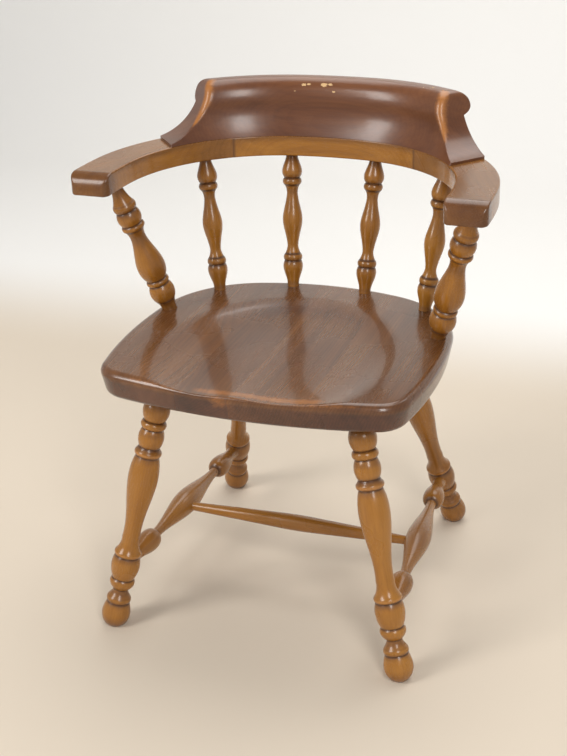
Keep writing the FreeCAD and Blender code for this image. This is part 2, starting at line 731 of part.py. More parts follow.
def arm_roll_waste():
    """What is taken off the top of the right arm's tip to roll it over."""
    r = arm_tip_roll
    bend = r * (1.0 - math.sqrt(0.5))
    x = bow_side_centre[0]
    back = arm_tip_y + r
    edges = [
        Part.Arc(vec(x, arm_tip_y, bow_top - r), vec(x, arm_tip_y + bend, bow_top - bend),
                 vec(x, back, bow_top)).toShape(),
        Part.makeLine(vec(x, back, bow_top), vec(x, back, bow_top + r)),
        Part.makeLine(vec(x, back, bow_top + r), vec(x, arm_tip_y - r, bow_top + r)),
        Part.makeLine(vec(x, arm_tip_y - r, bow_top + r), vec(x, arm_tip_y - r, bow_top - r)),
        Part.makeLine(vec(x, arm_tip_y - r, bow_top - r), vec(x, arm_tip_y, bow_top - r)),
    ]
    return Part.Face(Part.Wire(edges)).extrude(vec(bow_side_radius + outside, 0, 0))


def arm():
    """Right arm of the bow, from the glue line to the rolled tip, with its holes."""
    body = Part.Face(arm_outline()).extrude(vec(0, 0, bow_thickness))
    uprights = [e for e in body.Edges if e.BoundBox.YMax < arm_tip_y + 0.01 and e.BoundBox.XLength < 0.01]
    body = body.makeFillet(arm_tip_corner, uprights)
    body = body.makeFillet(bow_edge_round, long_edges(body))
    holes = [bow_stick_socket(outer_spindle_axis(), spindle_top_diameter),
             bow_stick_socket(post_axis(), post_top_diameter)]
    holes.extend(bow_dowel_sockets(-1.0))
    holes.extend(crest_dowel_sockets(True))
    return body.cut(arm_roll_waste()).cut(holes)


def bow_back():
    """Middle piece of the bow, between the two glue lines, with its holes."""
    joint = bow_joint_line()
    edges = [joint, mirrored(joint)]
    for inset in (0.0, bow_width):
        corner = arc(bow_corner_centre, bow_corner_radius + inset, bow_joint_angle, bow_back_turn,
                     bow_underside)
        back = arc(bow_back_centre, bow_back_radius + inset, bow_back_turn, 180.0 - bow_back_turn,
                   bow_underside)
        edges.extend([corner, mirrored(corner), back])
    body = Part.Face(Part.Wire(Part.__sortEdges__(edges))).extrude(vec(0, 0, bow_thickness))
    body = body.makeFillet(bow_edge_round, long_edges(body))
    holes = [bow_stick_socket(inner_spindle_axis(), spindle_top_diameter)]
    holes.extend(bow_dowel_sockets(1.0))
    holes.extend(crest_dowel_sockets(False))
    holes.extend([mirrored(hole) for hole in holes])
    holes.append(socket(crest_dowel_points()[1], down, dowel_diameter, crest_dowel_in_bow))
    return body.cut(holes)


def crest_section(centre, radius, angle):
    """Upright section face of the crest, at one angle about an arc of the bow."""
    a = math.radians(angle)

    def at(inset, height):
        reach = radius + inset
        return vec(centre[0] + reach * math.cos(a), centre[1] + reach * math.sin(a), bow_top + height)

    waist = crest_waist_inset
    roll_end = waist + crest_roll_depth
    roll_height = crest_height - crest_waist_height
    pull = 0.5523                 # makes the Bezier curve follow a quarter of an ellipse
    scoop = Part.BezierCurve()
    scoop.setPoles([at(0, 0), at(waist * 0.5, crest_waist_height * 0.28),
                    at(waist, crest_waist_height * 0.6), at(waist, crest_waist_height)])
    roll = Part.BezierCurve()
    roll.setPoles([at(waist, crest_waist_height), at(waist, crest_waist_height + pull * roll_height),
                   at(roll_end - pull * crest_roll_depth, crest_height), at(roll_end, crest_height)])
    overhang = crest_roll_inset - crest_crown_inset
    drop = crest_height - crest_roll_height
    back_roll = Part.BezierCurve()
    back_roll.setPoles([at(crest_crown_inset, crest_height),
                        at(crest_crown_inset + 0.45 * overhang, crest_height),
                        at(crest_roll_inset, crest_roll_height + 0.6 * drop),
                        at(crest_roll_inset, crest_roll_height)])
    ledge = crest_roll_inset - bow_width
    rise = crest_roll_height - crest_nib_height
    under_roll = Part.BezierCurve()
    under_roll.setPoles([at(crest_roll_inset, crest_roll_height),
                         at(crest_roll_inset, crest_nib_height + 0.46 * rise),
                         at(bow_width + 0.45 * ledge, crest_nib_height + 0.15 * rise),
                         at(bow_width, crest_nib_height)])
    edges = [
        scoop.toShape(),
        roll.toShape(),
        Part.makeLine(at(roll_end, crest_height), at(crest_crown_inset, crest_height)),
        back_roll.toShape(),
        under_roll.toShape(),
        Part.makeLine(at(bow_width, crest_nib_height), at(bow_width, 0)),
        Part.makeLine(at(bow_width, 0), at(0, 0)),
    ]
    return Part.Face(Part.Wire(edges))


def crest_swept(centre, radius, start, end):
    """The section carried round one arc of the bow."""
    face = crest_section(centre, radius, start)
    return face.revolve(vec(centre[0], centre[1], 0), up, end - start)


def crest_end_keeper():
    """What the saw cut at the +X end keeps: all that lies on the middle side of its outline."""
    a = math.radians(crest_cut_angle)
    across = vec(math.cos(a), -math.sin(a), 0)
    through = vec(math.sin(a), math.cos(a), 0)
    foot_x, foot_y = on_circle(bow_corner_centre, bow_corner_radius + bow_width, crest_foot_angle)
    start = along(vec(foot_x, foot_y, bow_top), through, -outside)

    def at(run, height):
        return start.add(FreeCAD.Vector(across).multiply(-run)).add(vec(0, 0, height))

    shoulder = at(crest_shoulder_run, crest_shoulder_height)
    crown_end = at(crest_end_run, crest_height)
    sweep = Part.BezierCurve()
    sweep.setPoles([at(0, crest_lip), at(crest_shoulder_run * 0.48, crest_lip * 2.4),
                    at(crest_shoulder_run * 0.85, crest_shoulder_height * 0.485), shoulder])
    crown = Part.BezierCurve()
    crown.setPoles([shoulder, at(crest_shoulder_run * 1.035, crest_shoulder_height * 1.123),
                    at(crest_end_run * 0.865, crest_height), crown_end])
    over = crest_height + crest_lip
    far = crest_end_run + outside
    edges = [
        sweep.toShape(),
        crown.toShape(),
        Part.makeLine(crown_end, at(crest_end_run, over)),
        Part.makeLine(at(crest_end_run, over), at(far, over)),
        Part.makeLine(at(far, over), at(far, -crest_lip)),
        Part.makeLine(at(far, -crest_lip), at(0, -crest_lip)),
        Part.makeLine(at(0, -crest_lip), at(0, crest_lip)),
    ]
    return Part.Face(Part.Wire(edges)).extrude(FreeCAD.Vector(through).multiply(2.0 * outside))


def crest_rail():
    """Crest: one section carried round the back of the bow, sawn to a sweep at each end."""
    corner = crest_swept(bow_corner_centre, bow_corner_radius, bow_side_turn, bow_back_turn)
    back = crest_swept(bow_back_centre, bow_back_radius, bow_back_turn, 180.0 - bow_back_turn)
    body = back.fuse([corner, mirrored(corner)]).removeSplitter()
    keeper = crest_end_keeper()
    body = body.common(keeper).common(mirrored(keeper))
    side, middle = crest_dowel_points()
    in_crest = crest_dowel_length - crest_dowel_in_bow
    holes = [socket(point, up, dowel_diameter, in_crest) for point in side]
    holes.extend([mirrored(hole) for hole in holes])
    holes.append(socket(middle, up, dowel_diameter, in_crest))
    return body.cut(holes)


def both_sides(name, right):
    """A piece of the +X side and its mirror image, by node name."""
    return {name + "_right": right, name + "_left": mirrored(right)}


def main():
    os.makedirs("parts", exist_ok=True)
    pieces = {}
    for number, board in enumerate(seat_boards(), 1):
        pieces["seat_board_%d" % number] = board
    for row in ("front", "rear"):
        pieces.update(both_sides("leg_" + row, leg(row)))
    pieces.update(both_sides("side_stretcher", side_stretcher()))
    pieces["cross_stretcher"] = cross_stretcher()
    pieces.update(both_sides("back_spindle_inner", spindle(inner_spindle_axis())))
    pieces.update(both_sides("back_spindle_outer", spindle(outer_spindle_axis())))
    pieces.update(both_sides("arm_post", arm_post()))
    pieces.update(both_sides("arm", arm()))
    pieces["bow_back"] = bow_back()
    pieces.update(both_sides("bow_dowels", bow_dowels()))
    pieces["crest_rail"] = crest_rail()
    pieces["crest_dowels"] = crest_dowels()
    for name, shape in pieces.items():
        if len(shape.Solids) == 1:
            shape = shape.Solids[0]
        print(name, len(shape.Solids), shape.isValid(), round(shape.Volume / 1000.0, 1), "cm3")
        shape.exportStep("parts/%s.step" % name)


main()
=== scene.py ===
import math
import bmesh
import bpy
import numpy as np
from mathutils import Matrix, Vector


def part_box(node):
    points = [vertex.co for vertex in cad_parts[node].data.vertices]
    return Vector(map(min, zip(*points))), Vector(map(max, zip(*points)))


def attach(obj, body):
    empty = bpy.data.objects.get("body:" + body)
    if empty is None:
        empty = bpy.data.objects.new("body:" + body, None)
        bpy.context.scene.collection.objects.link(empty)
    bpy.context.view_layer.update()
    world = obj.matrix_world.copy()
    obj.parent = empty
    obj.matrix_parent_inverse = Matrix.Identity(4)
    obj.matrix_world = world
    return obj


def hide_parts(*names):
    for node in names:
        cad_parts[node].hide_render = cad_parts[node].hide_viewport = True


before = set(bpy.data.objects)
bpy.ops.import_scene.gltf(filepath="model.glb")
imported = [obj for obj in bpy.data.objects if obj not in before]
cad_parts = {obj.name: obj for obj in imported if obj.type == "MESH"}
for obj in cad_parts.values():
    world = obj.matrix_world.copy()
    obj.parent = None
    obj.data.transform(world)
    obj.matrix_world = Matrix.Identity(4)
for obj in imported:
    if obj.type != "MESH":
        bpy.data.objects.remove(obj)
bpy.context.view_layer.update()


# Camera, at the angle from which the chair is seen

cameraLook = {
    "place": (0.61612, -1.71535, 1.19683),
    "yaw": 20.402,            # degrees to the left of straight ahead
    "pitch": 25.019,          # degrees down
    "roll": 1.8866,
    "focalPixels": 1301.98,
    "framePixels": 756,       # long side of the picture
    "sensor": 36.0,
}


def makeCamera(look):
    yaw, pitch, roll = (math.radians(look[key]) for key in ("yaw", "pitch", "roll"))
    ahead = Vector((-math.sin(yaw) * math.cos(pitch), math.cos(yaw) * math.cos(pitch), -math.sin(pitch)))
    level = Vector((math.cos(yaw), math.sin(yaw), 0.0))
    down = ahead.cross(level)
    right = math.cos(roll) * level + math.sin(roll) * down
    below = -math.sin(roll) * level + math.cos(roll) * down
    data = bpy.data.cameras.new("camera")
    data.sensor_width = look["sensor"]
    data.lens = look["focalPixels"] * look["sensor"] / look["framePixels"]
    data.clip_start = 0.05
    camera = bpy.data.objects.new("camera", data)
    turn = Matrix((right, -below, -ahead)).transposed().to_4x4()
    camera.matrix_world = Matrix.Translation(look["place"]) @ turn
    bpy.context.scene.collection.objects.link(camera)
    bpy.context.scene.camera = camera


makeCamera(cameraLook)
print("camera set")


# Plane geometry shared by the pieces

def onCircle(centre, radius, angle):
    # centre + radius (cos, sin) of each angle, in radians
    angle = np.asarray(angle, float)
    return np.stack([centre[0] + radius * np.cos(angle), centre[1] + radius * np.sin(angle)], -1)


def angleOf(centre, point):
    return math.atan2(point[1] - centre[1], point[0] - centre[0])


def cornerCentre(centreA, radiusA, centreB, radiusB, corner):
    # centre, on the +X side, of a circle that touches two larger ones from inside: where circles of
    # the two differences of radius cross
    ra, rb = radiusA - corner, radiusB - corner
    a, b = np.array(centreA), np.array(centreB)
    d = np.linalg.norm(b - a)
    reach = (ra * ra - rb * rb + d * d) / (2 * d)
    rise = math.sqrt(ra * ra - reach * reach)
    along = (b - a) / d
    foot = a + reach * along
    side = np.array([along[1], -along[0]])
    return max(tuple(foot + rise * side), tuple(foot - rise * side))


def unit(vector):
    vector = np.asarray(vector, float)
    return vector / np.linalg.norm(vector)


def softStep(x, low, high):
    # 0 below low, 1 above high, and 3t^2 - 2t^3 between
    t = np.clip((x - low) / (high - low), 0.0, 1.0)
    return t * t * (3 - 2 * t)


def bump(x, middle, width):
    # bell curve, 1 in the middle
    return np.exp(-((x - middle) / width) ** 2)


def softMin(a, b, width):
    # the smaller of the two, eased by a quarter of width where they cross
    near = np.clip(1 - np.abs(a - b) / width, 0.0, 1.0)
    return np.minimum(a, b) - near * near * width / 4


def bezier(poles, count):
    # cubic Bezier curve: the poles weighed by the four Bernstein terms
    t = np.linspace(0, 1, count)[:, None]
    p = np.asarray(poles, float)
    return (1 - t) ** 3 * p[0] + 3 * t * (1 - t) ** 2 * p[1] + 3 * t * t * (1 - t) * p[2] + t ** 3 * p[3]


def smoothCurve(points, count):
    # cubic spline through the points over their chord lengths: slopes that make the second
    # derivative continuous, and at both ends the slope of the cubic through the nearest four
    points = np.asarray(points, float)
    chord = np.concatenate([[0], np.cumsum(np.linalg.norm(np.diff(points, axis=0), axis=1))])
    h = np.diff(chord)
    step = np.diff(points, axis=0) / h[:, None]
    n = len(points)
    m = min(n, 4)
    system = np.eye(n)
    right = np.zeros_like(points)
    right[0] = np.polyfit(chord[:m] - chord[0], points[:m], m - 1)[-2]
    right[-1] = np.polyfit(chord[-m:] - chord[-1], points[-m:], m - 1)[-2]
    inner = np.arange(1, n - 1)
    system[inner, inner - 1] = 1 / h[:-1]
    system[inner, inner] = 2 / h[:-1] + 2 / h[1:]
    system[inner, inner + 1] = 1 / h[1:]
    right[1:-1] = 3 * (step[:-1] / h[:-1, None] + step[1:] / h[1:, None])
    slope = np.linalg.solve(system, right)
    place = np.linspace(0, chord[-1], count)
    k = np.clip(np.searchsorted(chord, place, side="right") - 1, 0, n - 2)
    width = h[k][:, None]
    t = (place - chord[k])[:, None] / width
    return ((2 * t ** 3 - 3 * t ** 2 + 1) * points[k] + (t ** 3 - 2 * t ** 2 + t) * width * slope[k]
            + (3 * t ** 2 - 2 * t ** 3) * points[k + 1] + (t ** 3 - t ** 2) * width * slope[k + 1])


def arcThrough(a, b, c, count):
    # circular arc through three points: the centre is as far from all three
    a, b, c = (np.asarray(p, float) for p in (a, b, c))
    centre = np.linalg.solve(2 * np.array([b - a, c - a]), [b @ b - a @ a, c @ c - a @ a])
    angles = np.unwrap([math.atan2(*(p - centre)[::-1]) for p in (a, b, c)])
    return onCircle(centre, np.linalg.norm(a - centre), np.linspace(angles[0], angles[2], count))


def roundedCorner(before, corner, after, radius, count):
    # fillet of a corner of an outline: the arc that touches both legs
    u, v = unit(np.subtract(before, corner)), unit(np.subtract(after, corner))
    half = math.acos(float(u @ v)) / 2
    middle = np.asarray(corner) + unit(u + v) * radius / math.sin(half)
    reach = radius / math.tan(half)
    start, end = np.asarray(corner) + u * reach, np.asarray(corner) + v * reach
    return arcThrough(start, middle - unit(u + v) * radius, end, count)


# Meshes

def gridQuads(rows, columns, closed):
    # one quad between each two neighbouring rows and columns; closed joins the last column to the first
    i = np.arange(rows - 1)[:, None] * columns
    j = np.arange(columns if closed else columns - 1)[None, :]
    k = (j + 1) % columns
    return np.stack([i + j, i + k, i + columns + k, i + columns + j], -1).reshape(-1, 4)


def tubeFaces(rows, columns):
    # faces of a closed tube of rings whose two ends are fans to one more point each
    ring = np.arange(columns)
    after = (ring + 1) % columns
    first, last = rows * columns, rows * columns + 1
    fanA = np.stack([np.full(columns, first), after, ring], -1)
    base = (rows - 1) * columns
    fanB = np.stack([np.full(columns, last), base + ring, base + after], -1)
    return gridQuads(rows, columns, True).tolist() + fanA.tolist() + fanB.tolist()


def closedTube(rings):
    # points of a tube closed by the middles of its first and last rings
    return np.concatenate([rings.reshape(-1, 3), rings[0].mean(0)[None], rings[-1].mean(0)[None]])


def alongTube(values, columns):
    # one value per ring, spread over the ring's points and the two end points
    return np.concatenate([np.repeat(values, columns), values[:1], values[-1:]])


maskNames = ("toner", "groove", "worn", "bare")     # numbers from 0 to 1 at each point, for the finish


def writeMasks(mesh, masks):
    # a mask that the piece doesn't give is nought all over
    for key in maskNames:
        values = masks.get(key, np.zeros(len(mesh.vertices)))
        layer = mesh.attributes.new(key, "FLOAT", "POINT")
        layer.data.foreach_set("value", np.asarray(values, np.float32).ravel())


def makeMesh(name, points, faces, masks=None):
    mesh = bpy.data.meshes.new(name)
    mesh.from_pydata(np.asarray(points).tolist(), [], faces)
    if masks is not None:
        writeMasks(mesh, masks)
    return mesh


def meshPoints(mesh):
    points = np.empty(len(mesh.vertices) * 3, np.float32)
    mesh.vertices.foreach_get("co", points)
    return points.reshape(-1, 3).astype(float)


def cutMesh(mesh, point, normal):
    # keeps what lies behind a plane and closes the cut with flat faces
    work = bmesh.new()
    work.from_mesh(mesh)
    everything = work.verts[:] + work.edges[:] + work.faces[:]
    cut = bmesh.ops.bisect_plane(work, geom=everything, plane_co=point, plane_no=normal,
                                 clear_outer=True, dist=1e-7)
    rim = [piece for piece in cut["geom_cut"] if isinstance(piece, bmesh.types.BMEdge)]
    bmesh.ops.triangle_fill(work, edges=rim, use_beauty=True, normal=normal)
    work.to_mesh(mesh)
    work.free()


def tidyMesh(mesh):
    # joined doubles, faces turned outwards, smooth but for real edges
    work = bmesh.new()
    work.from_mesh(mesh)
    bmesh.ops.remove_doubles(work, verts=work.verts, dist=1e-6)
    bmesh.ops.dissolve_degenerate(work, edges=work.edges, dist=1e-7)
    bmesh.ops.recalc_face_normals(work, faces=work.faces)
    if work.calc_volume(signed=True) < 0:
        bmesh.ops.reverse_faces(work, faces=work.faces)
    work.to_mesh(mesh)
    work.free()
    mesh.shade_smooth()
    mesh.set_sharp_from_angle(angle=math.radians(34))


def setGrain(mesh, origin, direction, offset, turn=0.0):
    # place of each point in the plank that the piece was sawn from: across, through and along the grain
    along = unit(direction)
    side = unit(np.cross(along, (0.31, 0.57, 0.76)))
    third = np.cross(along, side)
    c, s = math.cos(turn), math.sin(turn)
    basis = np.stack([c * side + s * third, -s * side + c * third, along], -1)
    place = (meshPoints(mesh) - np.asarray(origin)) @ basis + np.asarray(offset)
    layer = mesh.attributes.new("grainPlace", "FLOAT_VECTOR", "POINT")
    layer.data.foreach_set("vector", place.astype(np.float32).ravel())


def placePiece(mesh, node, slot):
    # puts a finished mesh in the scene in the place of one CAD node
    piece = bpy.data.objects.new(mesh.name, mesh)
    bpy.context.scene.collection.objects.link(piece)
    mesh.materials.append(finishes[slot])
    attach(piece, "root")
    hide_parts(node)
    return piece


def sideways(points, side):
    # the same points on the right, side 1, or mirrored to the left, side -1
    return np.asarray(points, float) * np.array([side, 1, 1])


sides = {"right": 1, "left": -1}


# Materials

class Wire:
    # a number in a material: arithmetic on it adds the Math node that works it out
    def __init__(self, graph, socket):
        self.graph = graph
        self.socket = socket

    def maths(self, operation, *values):
        return self.graph.add("Math", {"operation": operation}, dict(enumerate(values)))

    def __add__(self, other):
        return self.maths("ADD", self, other)

    def __radd__(self, other):
        return self.maths("ADD", other, self)

    def __sub__(self, other):
        return self.maths("SUBTRACT", self, other)

    def __rsub__(self, other):
        return self.maths("SUBTRACT", other, self)

    def __mul__(self, other):
        return self.maths("MULTIPLY", self, other)

    def __rmul__(self, other):
        return self.maths("MULTIPLY", other, self)

    def __truediv__(self, other):
        return self.maths("DIVIDE", self, other)

    def __rtruediv__(self, other):
        return self.maths("DIVIDE", other, self)

    def __pow__(self, other):
        return self.maths("POWER", self, other)

    def __rpow__(self, other):
        return self.maths("POWER", other, self)


class Finish:
    # the nodes of one material
    def __init__(self, name):
        self.material = bpy.data.materials.new(name)
        self.material.use_nodes = True
        self.tree = self.material.node_tree
        self.tree.nodes.clear()

    def add(self, kind, settings=None, inputs=None, output=0):
        # one node of any type: its settings first, then the values or links of its sockets
        node = self.tree.nodes.new("ShaderNode" + kind)
        for key, value in (settings or {}).items():
            if key == "stops":
                elements = node.color_ramp.elements
                elements[0].position, elements[0].color = value[0]
                elements[1].position, elements[1].color = value[-1]
                for place, colour in value[1:-1]:
                    elements.new(place).color = colour
            else:
                setattr(node, key, value)
        for key, value in (inputs or {}).items():
            if isinstance(value, Wire):
                self.tree.links.new(value.socket, node.inputs[key])
            else:
                node.inputs[key].default_value = value
        return Wire(self, node.outputs[output]) if len(node.outputs) else None

    def mask(self, name):
        return self.add("Attribute", {"attribute_name": name}, output="Fac")

    def part(self, place, axis):
        return self.add("SeparateXYZ", None, {0: place}, output=axis)

    def stretched(self, place, scale):
        return self.add("VectorMath", {"operation": "MULTIPLY"}, {0: place, 1: scale})

    def noise(self, place, scale, detail=3.0, roughness=0.5):
        inputs = {"Vector": place, "Scale": scale, "Detail": detail, "Roughness": roughness}
        return self.add("TexNoise", {"noise_dimensions": "3D"}, inputs)

    def between(self, value, low, high):
        # 0 below low, 1 above high, eased between
        inputs = {"Value": value, "From Min": low, "From Max": high}
        return self.add("MapRange", {"interpolation_type": "SMOOTHSTEP"}, inputs)

    def mixed(self, share, a, b):
        # colours a and b, by a share that is held between 0 and 1
        return self.add("Mix", {"data_type": "RGBA"}, {0: share, 6: a, 7: b}, output=2)


def colour(red, green, blue):
    return (red, green, blue, 1.0)


grainLook = {
    "ringWidth": 0.0042,                        # from one year ring to the next
    "ringWaver": 0.014,                         # how far the rings stray
    "ringRise": (0.35, 0.9), "ringFall": (0.93, 1.0),       # where late wood sets in and ends in a ring
    "waverScale": 22.0, "waverStretch": 0.22,
    "streakScale": 95.0, "streakStretch": 0.035,
    "flowScale": 14.0, "flowStretch": 0.12,     # broad lighter and darker bands
    "poreScale": 1500.0,                        # pores per metre across the grain
    "poreStretch": 0.035,                       # their width as a share of their length
    "poreEdges": (0.60, 0.74),
    "cloudScale": 7.0, "cloudEdges": (0.3, 0.72), "tonerAndShadeShares": (0.82, 0.28),
    "gritScale": 420.0,                         # crumbs round rubbed and bare spots
    "skinScale": 160.0,                         # waves in the lacquer
    "dirtAndShadeEdges": (0.05, 1.0), "rubEdges": (0.25, 0.85), "bareAndHighlightEdges": (0.5, 0.62),
    "reliefHeight": 0.0006,
}


def woodFinish(name, look):
    # stained and lacquered wood: rings about the pith, streaks and pores drawn out along the grain,
    # a darker toner sprayed where the piece has it, together with painted shade on the turnings and a
    # painted dark reflection on the seat's hollow; dirt and painted shade in the grooves; rubbed edges,
    # with a painted highlight on the seat's front arris; and bare chips, with four painted highlights on
    # the crest
    f, g = Finish(name), grainLook
    place = f.add("Attribute", {"attribute_name": "grainPlace"}, output="Vector")
    toner, groove, worn, chippedAndHighlight = (f.mask(key) for key in maskNames)

    def alongGrain(key, *detail):
        drawnOut = f.stretched(place, (1.0, 1.0, g[key + "Stretch"]))
        return f.noise(drawnOut, g[key + "Scale"], *detail)

    x, y = f.part(place, "X"), f.part(place, "Y")
    fromPith = (x * x + y * y) ** 0.5 + (alongGrain("waver", 2.0) - 0.5) * g["ringWaver"]
    rings = fromPith / g["ringWidth"]
    within = rings.maths("FRACT", rings)
    ring = f.between(within, *g["ringRise"]) * (1 - f.between(within, *g["ringFall"]))

    streak = alongGrain("streak", 5.0, 0.62)
    flow = alongGrain("flow", 3.0)
    pores = f.between(alongGrain("pore", 2.0), *g["poreEdges"])
    fine = f.noise(f.stretched(place, (1.0, 1.0, g["poreStretch"])), g["poreScale"] / 3, 3.0, 0.7)
    cloud = f.noise(place, g["cloudScale"], 3.0)
    grit = f.noise(place, g["gritScale"], 4.0, 0.65)
    skin = f.noise(place, g["skinScale"], 2.0)

    tone = ((streak - 0.5) * look["streak"] + (flow - 0.5) * look["flow"]
            + (fine - 0.5) * look["fine"] + 0.5 - ring * look["ring"])
    wood, toned = (f.add("ValToRGB", {"stops": look[key]}, {0: tone}) for key in ("wood", "toned"))
    # the toner mask also carries painted shade on the turnings and a painted dark reflection on the
    # seat's hollow; it darkens towards the toned ramp
    thin, thick = g["tonerAndShadeShares"]
    shade = f.mixed(toner * (thin + f.between(cloud, *g["cloudEdges"]) * thick), wood, toned)

    # dirt and painted shade in the turnings' grooves; on the bow, the dark glue line
    dirtAndShade = f.between(groove + (fine - 0.5) * 0.3, *g["dirtAndShadeEdges"])
    rubbed = f.between(worn + (grit - 0.5) * look["grit"] + (streak - 0.5) * 0.4, *g["rubEdges"])
    # bare chips, and the crest's painted highlight spots
    bare = f.between(chippedAndHighlight + (grit - 0.5) * 1.3 + (streak - 0.5) * 0.6, *g["bareAndHighlightEdges"])
    layers = ((pores * look["pores"], "poreColour"), (dirtAndShade * look["dirtAndShade"], "dirtAndShadeColour"),
              (rubbed * look["rub"], "rubColour"), (bare, "bareAndHighlightColour"))
    for share, key in layers:
        shade = f.mixed(share, shade, look[key])

    roughness = (look["roughness"] + (cloud - 0.5) * 0.10 + rubbed * 0.06 + bare * 0.35 + pores * 0.10
                 + dirtAndShade * 0.08)
    relief = (skin * 0.10 - pores * look["poreDepth"] + fine * 0.05 + streak * 0.10
              + grit * rubbed * 0.05 - bare * 0.5)
    bumps = {"Strength": look["relief"], "Distance": g["reliefHeight"], "Height": relief}
    normal = f.add("Bump", None, bumps, "Normal")
    surface = {
        "Base Color": shade,
        "Roughness": roughness,
        "Normal": normal,
        "Coat Weight": (1 - bare) * look["coat"],
        "Coat Roughness": look["coatRoughness"],
        "IOR": 1.5,
    }
    shader = f.add("BsdfPrincipled", None, surface)
    f.add("OutputMaterial", None, {0: shader})
    return f.material


# stains, each as ramp stops from the darkest grain to the lightest

honey = [
    (0.20, colour(0.190, 0.068, 0.009)),
    (0.42, colour(0.340, 0.136, 0.015)),
    (0.58, colour(0.430, 0.182, 0.022)),
    (0.80, colour(0.550, 0.255, 0.042)),
]
nutBrown = [
    (0.20, colour(0.090, 0.034, 0.010)),
    (0.42, colour(0.160, 0.063, 0.018)),
    (0.58, colour(0.215, 0.089, 0.026)),
    (0.80, colour(0.290, 0.130, 0.042)),
]
walnut = [
    (0.20, colour(0.030, 0.010, 0.006)),
    (0.42, colour(0.060, 0.019, 0.010)),
    (0.58, colour(0.086, 0.028, 0.014)),
    (0.80, colour(0.130, 0.049, 0.024)),
]
chestnut = [
    (0.20, colour(0.105, 0.031, 0.009)),
    (0.42, colour(0.185, 0.061, 0.017)),
    (0.58, colour(0.245, 0.088, 0.025)),
    (0.80, colour(0.320, 0.128, 0.040)),
]

commonLook = {
    # how much each pattern shifts the tone
    "streak": 0.36, "flow": 0.62, "fine": 0.16, "ring": 0.03,
    "pores": 0.22, "poreDepth": 0.2, "poreColour": colour(0.03, 0.012, 0.006),
    # dirt and painted shade in the grooves
    "dirtAndShade": 0.8, "dirtAndShadeColour": colour(0.075, 0.028, 0.010),
    "rub": 0.8, "grit": 0.45, "rubColour": colour(0.50, 0.22, 0.060),
    # colour of bare chips, also used for painted highlight spots
    "bareAndHighlightColour": colour(0.62, 0.40, 0.19),
    "roughness": 0.27, "relief": 0.4, "coat": 0.25, "coatRoughness": 0.08,
}

finishLooks = {
    "seat_wood": dict(commonLook, wood=nutBrown, toned=walnut, streak=0.48, fine=0.28, ring=0.10,
                      pores=0.45, relief=0.35, coat=0.45, rubColour=colour(0.46, 0.165, 0.030)),
    "turned_wood": dict(commonLook, wood=honey, toned=nutBrown, dirtAndShade=0.9),
    "bow_wood": dict(commonLook, wood=honey, toned=walnut, ring=0.05),
    "crest_wood": dict(commonLook, wood=chestnut, toned=walnut, ring=0.04, relief=0.4, roughness=0.3,
                       coatRoughness=0.17, rubColour=colour(0.46, 0.175, 0.035)),
}
finishes = {slot: woodFinish(slot, look) for slot, look in finishLooks.items()}


def dowelFinish(name):
    # bare wood, read on Object coordinates because the dowels stay CAD nodes
    f = Finish(name)
    place = f.add("TexCoord", None, None, "Object")
    streak = f.noise(f.stretched(place, (1.0, 1.0, 0.08)), 300.0, 4.0)
    surface = {
        "Base Color": f.mixed(streak, colour(0.50, 0.35, 0.20), colour(0.70, 0.55, 0.36)),
        "Roughness": 0.55 + streak * 0.15,
        "Normal": f.add("Bump", None, {"Strength": 0.3, "Distance": 0.0004, "Height": streak}, "Normal"),
    }
    f.add("OutputMaterial", None, {0: f.add("BsdfPrincipled", None, surface)})
    return f.material


finishes["dowel_wood"] = dowelFinish("dowel_wood")
for dowels in ("bow_dowels_right", "bow_dowels_left", "crest_dowels"):
    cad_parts[dowels].data.materials.clear()
    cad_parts[dowels].data.materials.append(finishes["dowel_wood"])
print("finishes mixed")


# Seat: one plank shape, parted at the glue seams into four boards

seat = {
    "rim": 0.432, "thickness": 0.044,
    "halfWidth": 0.245, "widestY": -0.0623, "frontY": -0.2553, "backY": 0.1887,
    "frontRadius": 0.900, "sideRadius": 0.700, "backRadius": 0.420,
    "frontCorner": 0.052, "backCorner": 0.168,
    "undercut": 0.009, "topRound": 0.011, "bottomRound": 0.011,
    "dishDepth": 0.011, "dishHalfWidth": 0.175, "dishHalfLength": 0.214, "dishY": -0.1023,
    "dishSteepness": 4.0, "dishEase": 0.0028,
    "pommelHeight": 0.0045, "pommelHalfWidth": 0.045, "pommelLength": 0.203,
    "seams": tuple(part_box("seat_board_%d" % number)[0][0] for number in (2, 3, 4)),
    "around": 640, "rimInset": 0.042, "middle": (0.0, -0.033),
    # the hollow's amount is a painted dark reflection on the back slope of the hollow
    "topToner": 0.36, "edgeToner": 0.98, "hollowPaintedReflection": 0.35,
    "tonerEdge": (0.016, 0.008),            # below the rim, where the darker edge ends and the top starts
    # band of the painted dark reflection on the hollow's back slope
    "paintedReflectionBand": (0.84, 0.10),             # middle and width, as shares of the hollow
    "wornBand": (-0.10, 0.135), "wornBandPlace": (0.020, 0.013), "wornBandWear": 0.62,
    # the front arris line is rubbed wear and a painted highlight as well
    "arrisPlace": (0.006, 0.0035), "arrisWear": 0.42,
    "wornPatch": (-0.024, 0.419), "wornPatchSize": (0.021, 0.015), "wornPatchWear": 0.54,
    "grainHeart": 0.42,                     # height of the line that the boards' grain is measured from
}
seat["underside"] = seat["rim"] - seat["thickness"]
seatBack = (0.0, seat["backY"] - seat["backRadius"])
seatFront = (0.0, seat["frontY"] + seat["frontRadius"])
seatSide = (seat["halfWidth"] - seat["sideRadius"], seat["widestY"])
seatBackCorner, seatFrontCorner = (
    cornerCentre(middle, seat[end + "Radius"], seatSide, seat["sideRadius"], seat[end + "Corner"])
    for middle, end in ((seatBack, "back"), (seatFront, "front")))


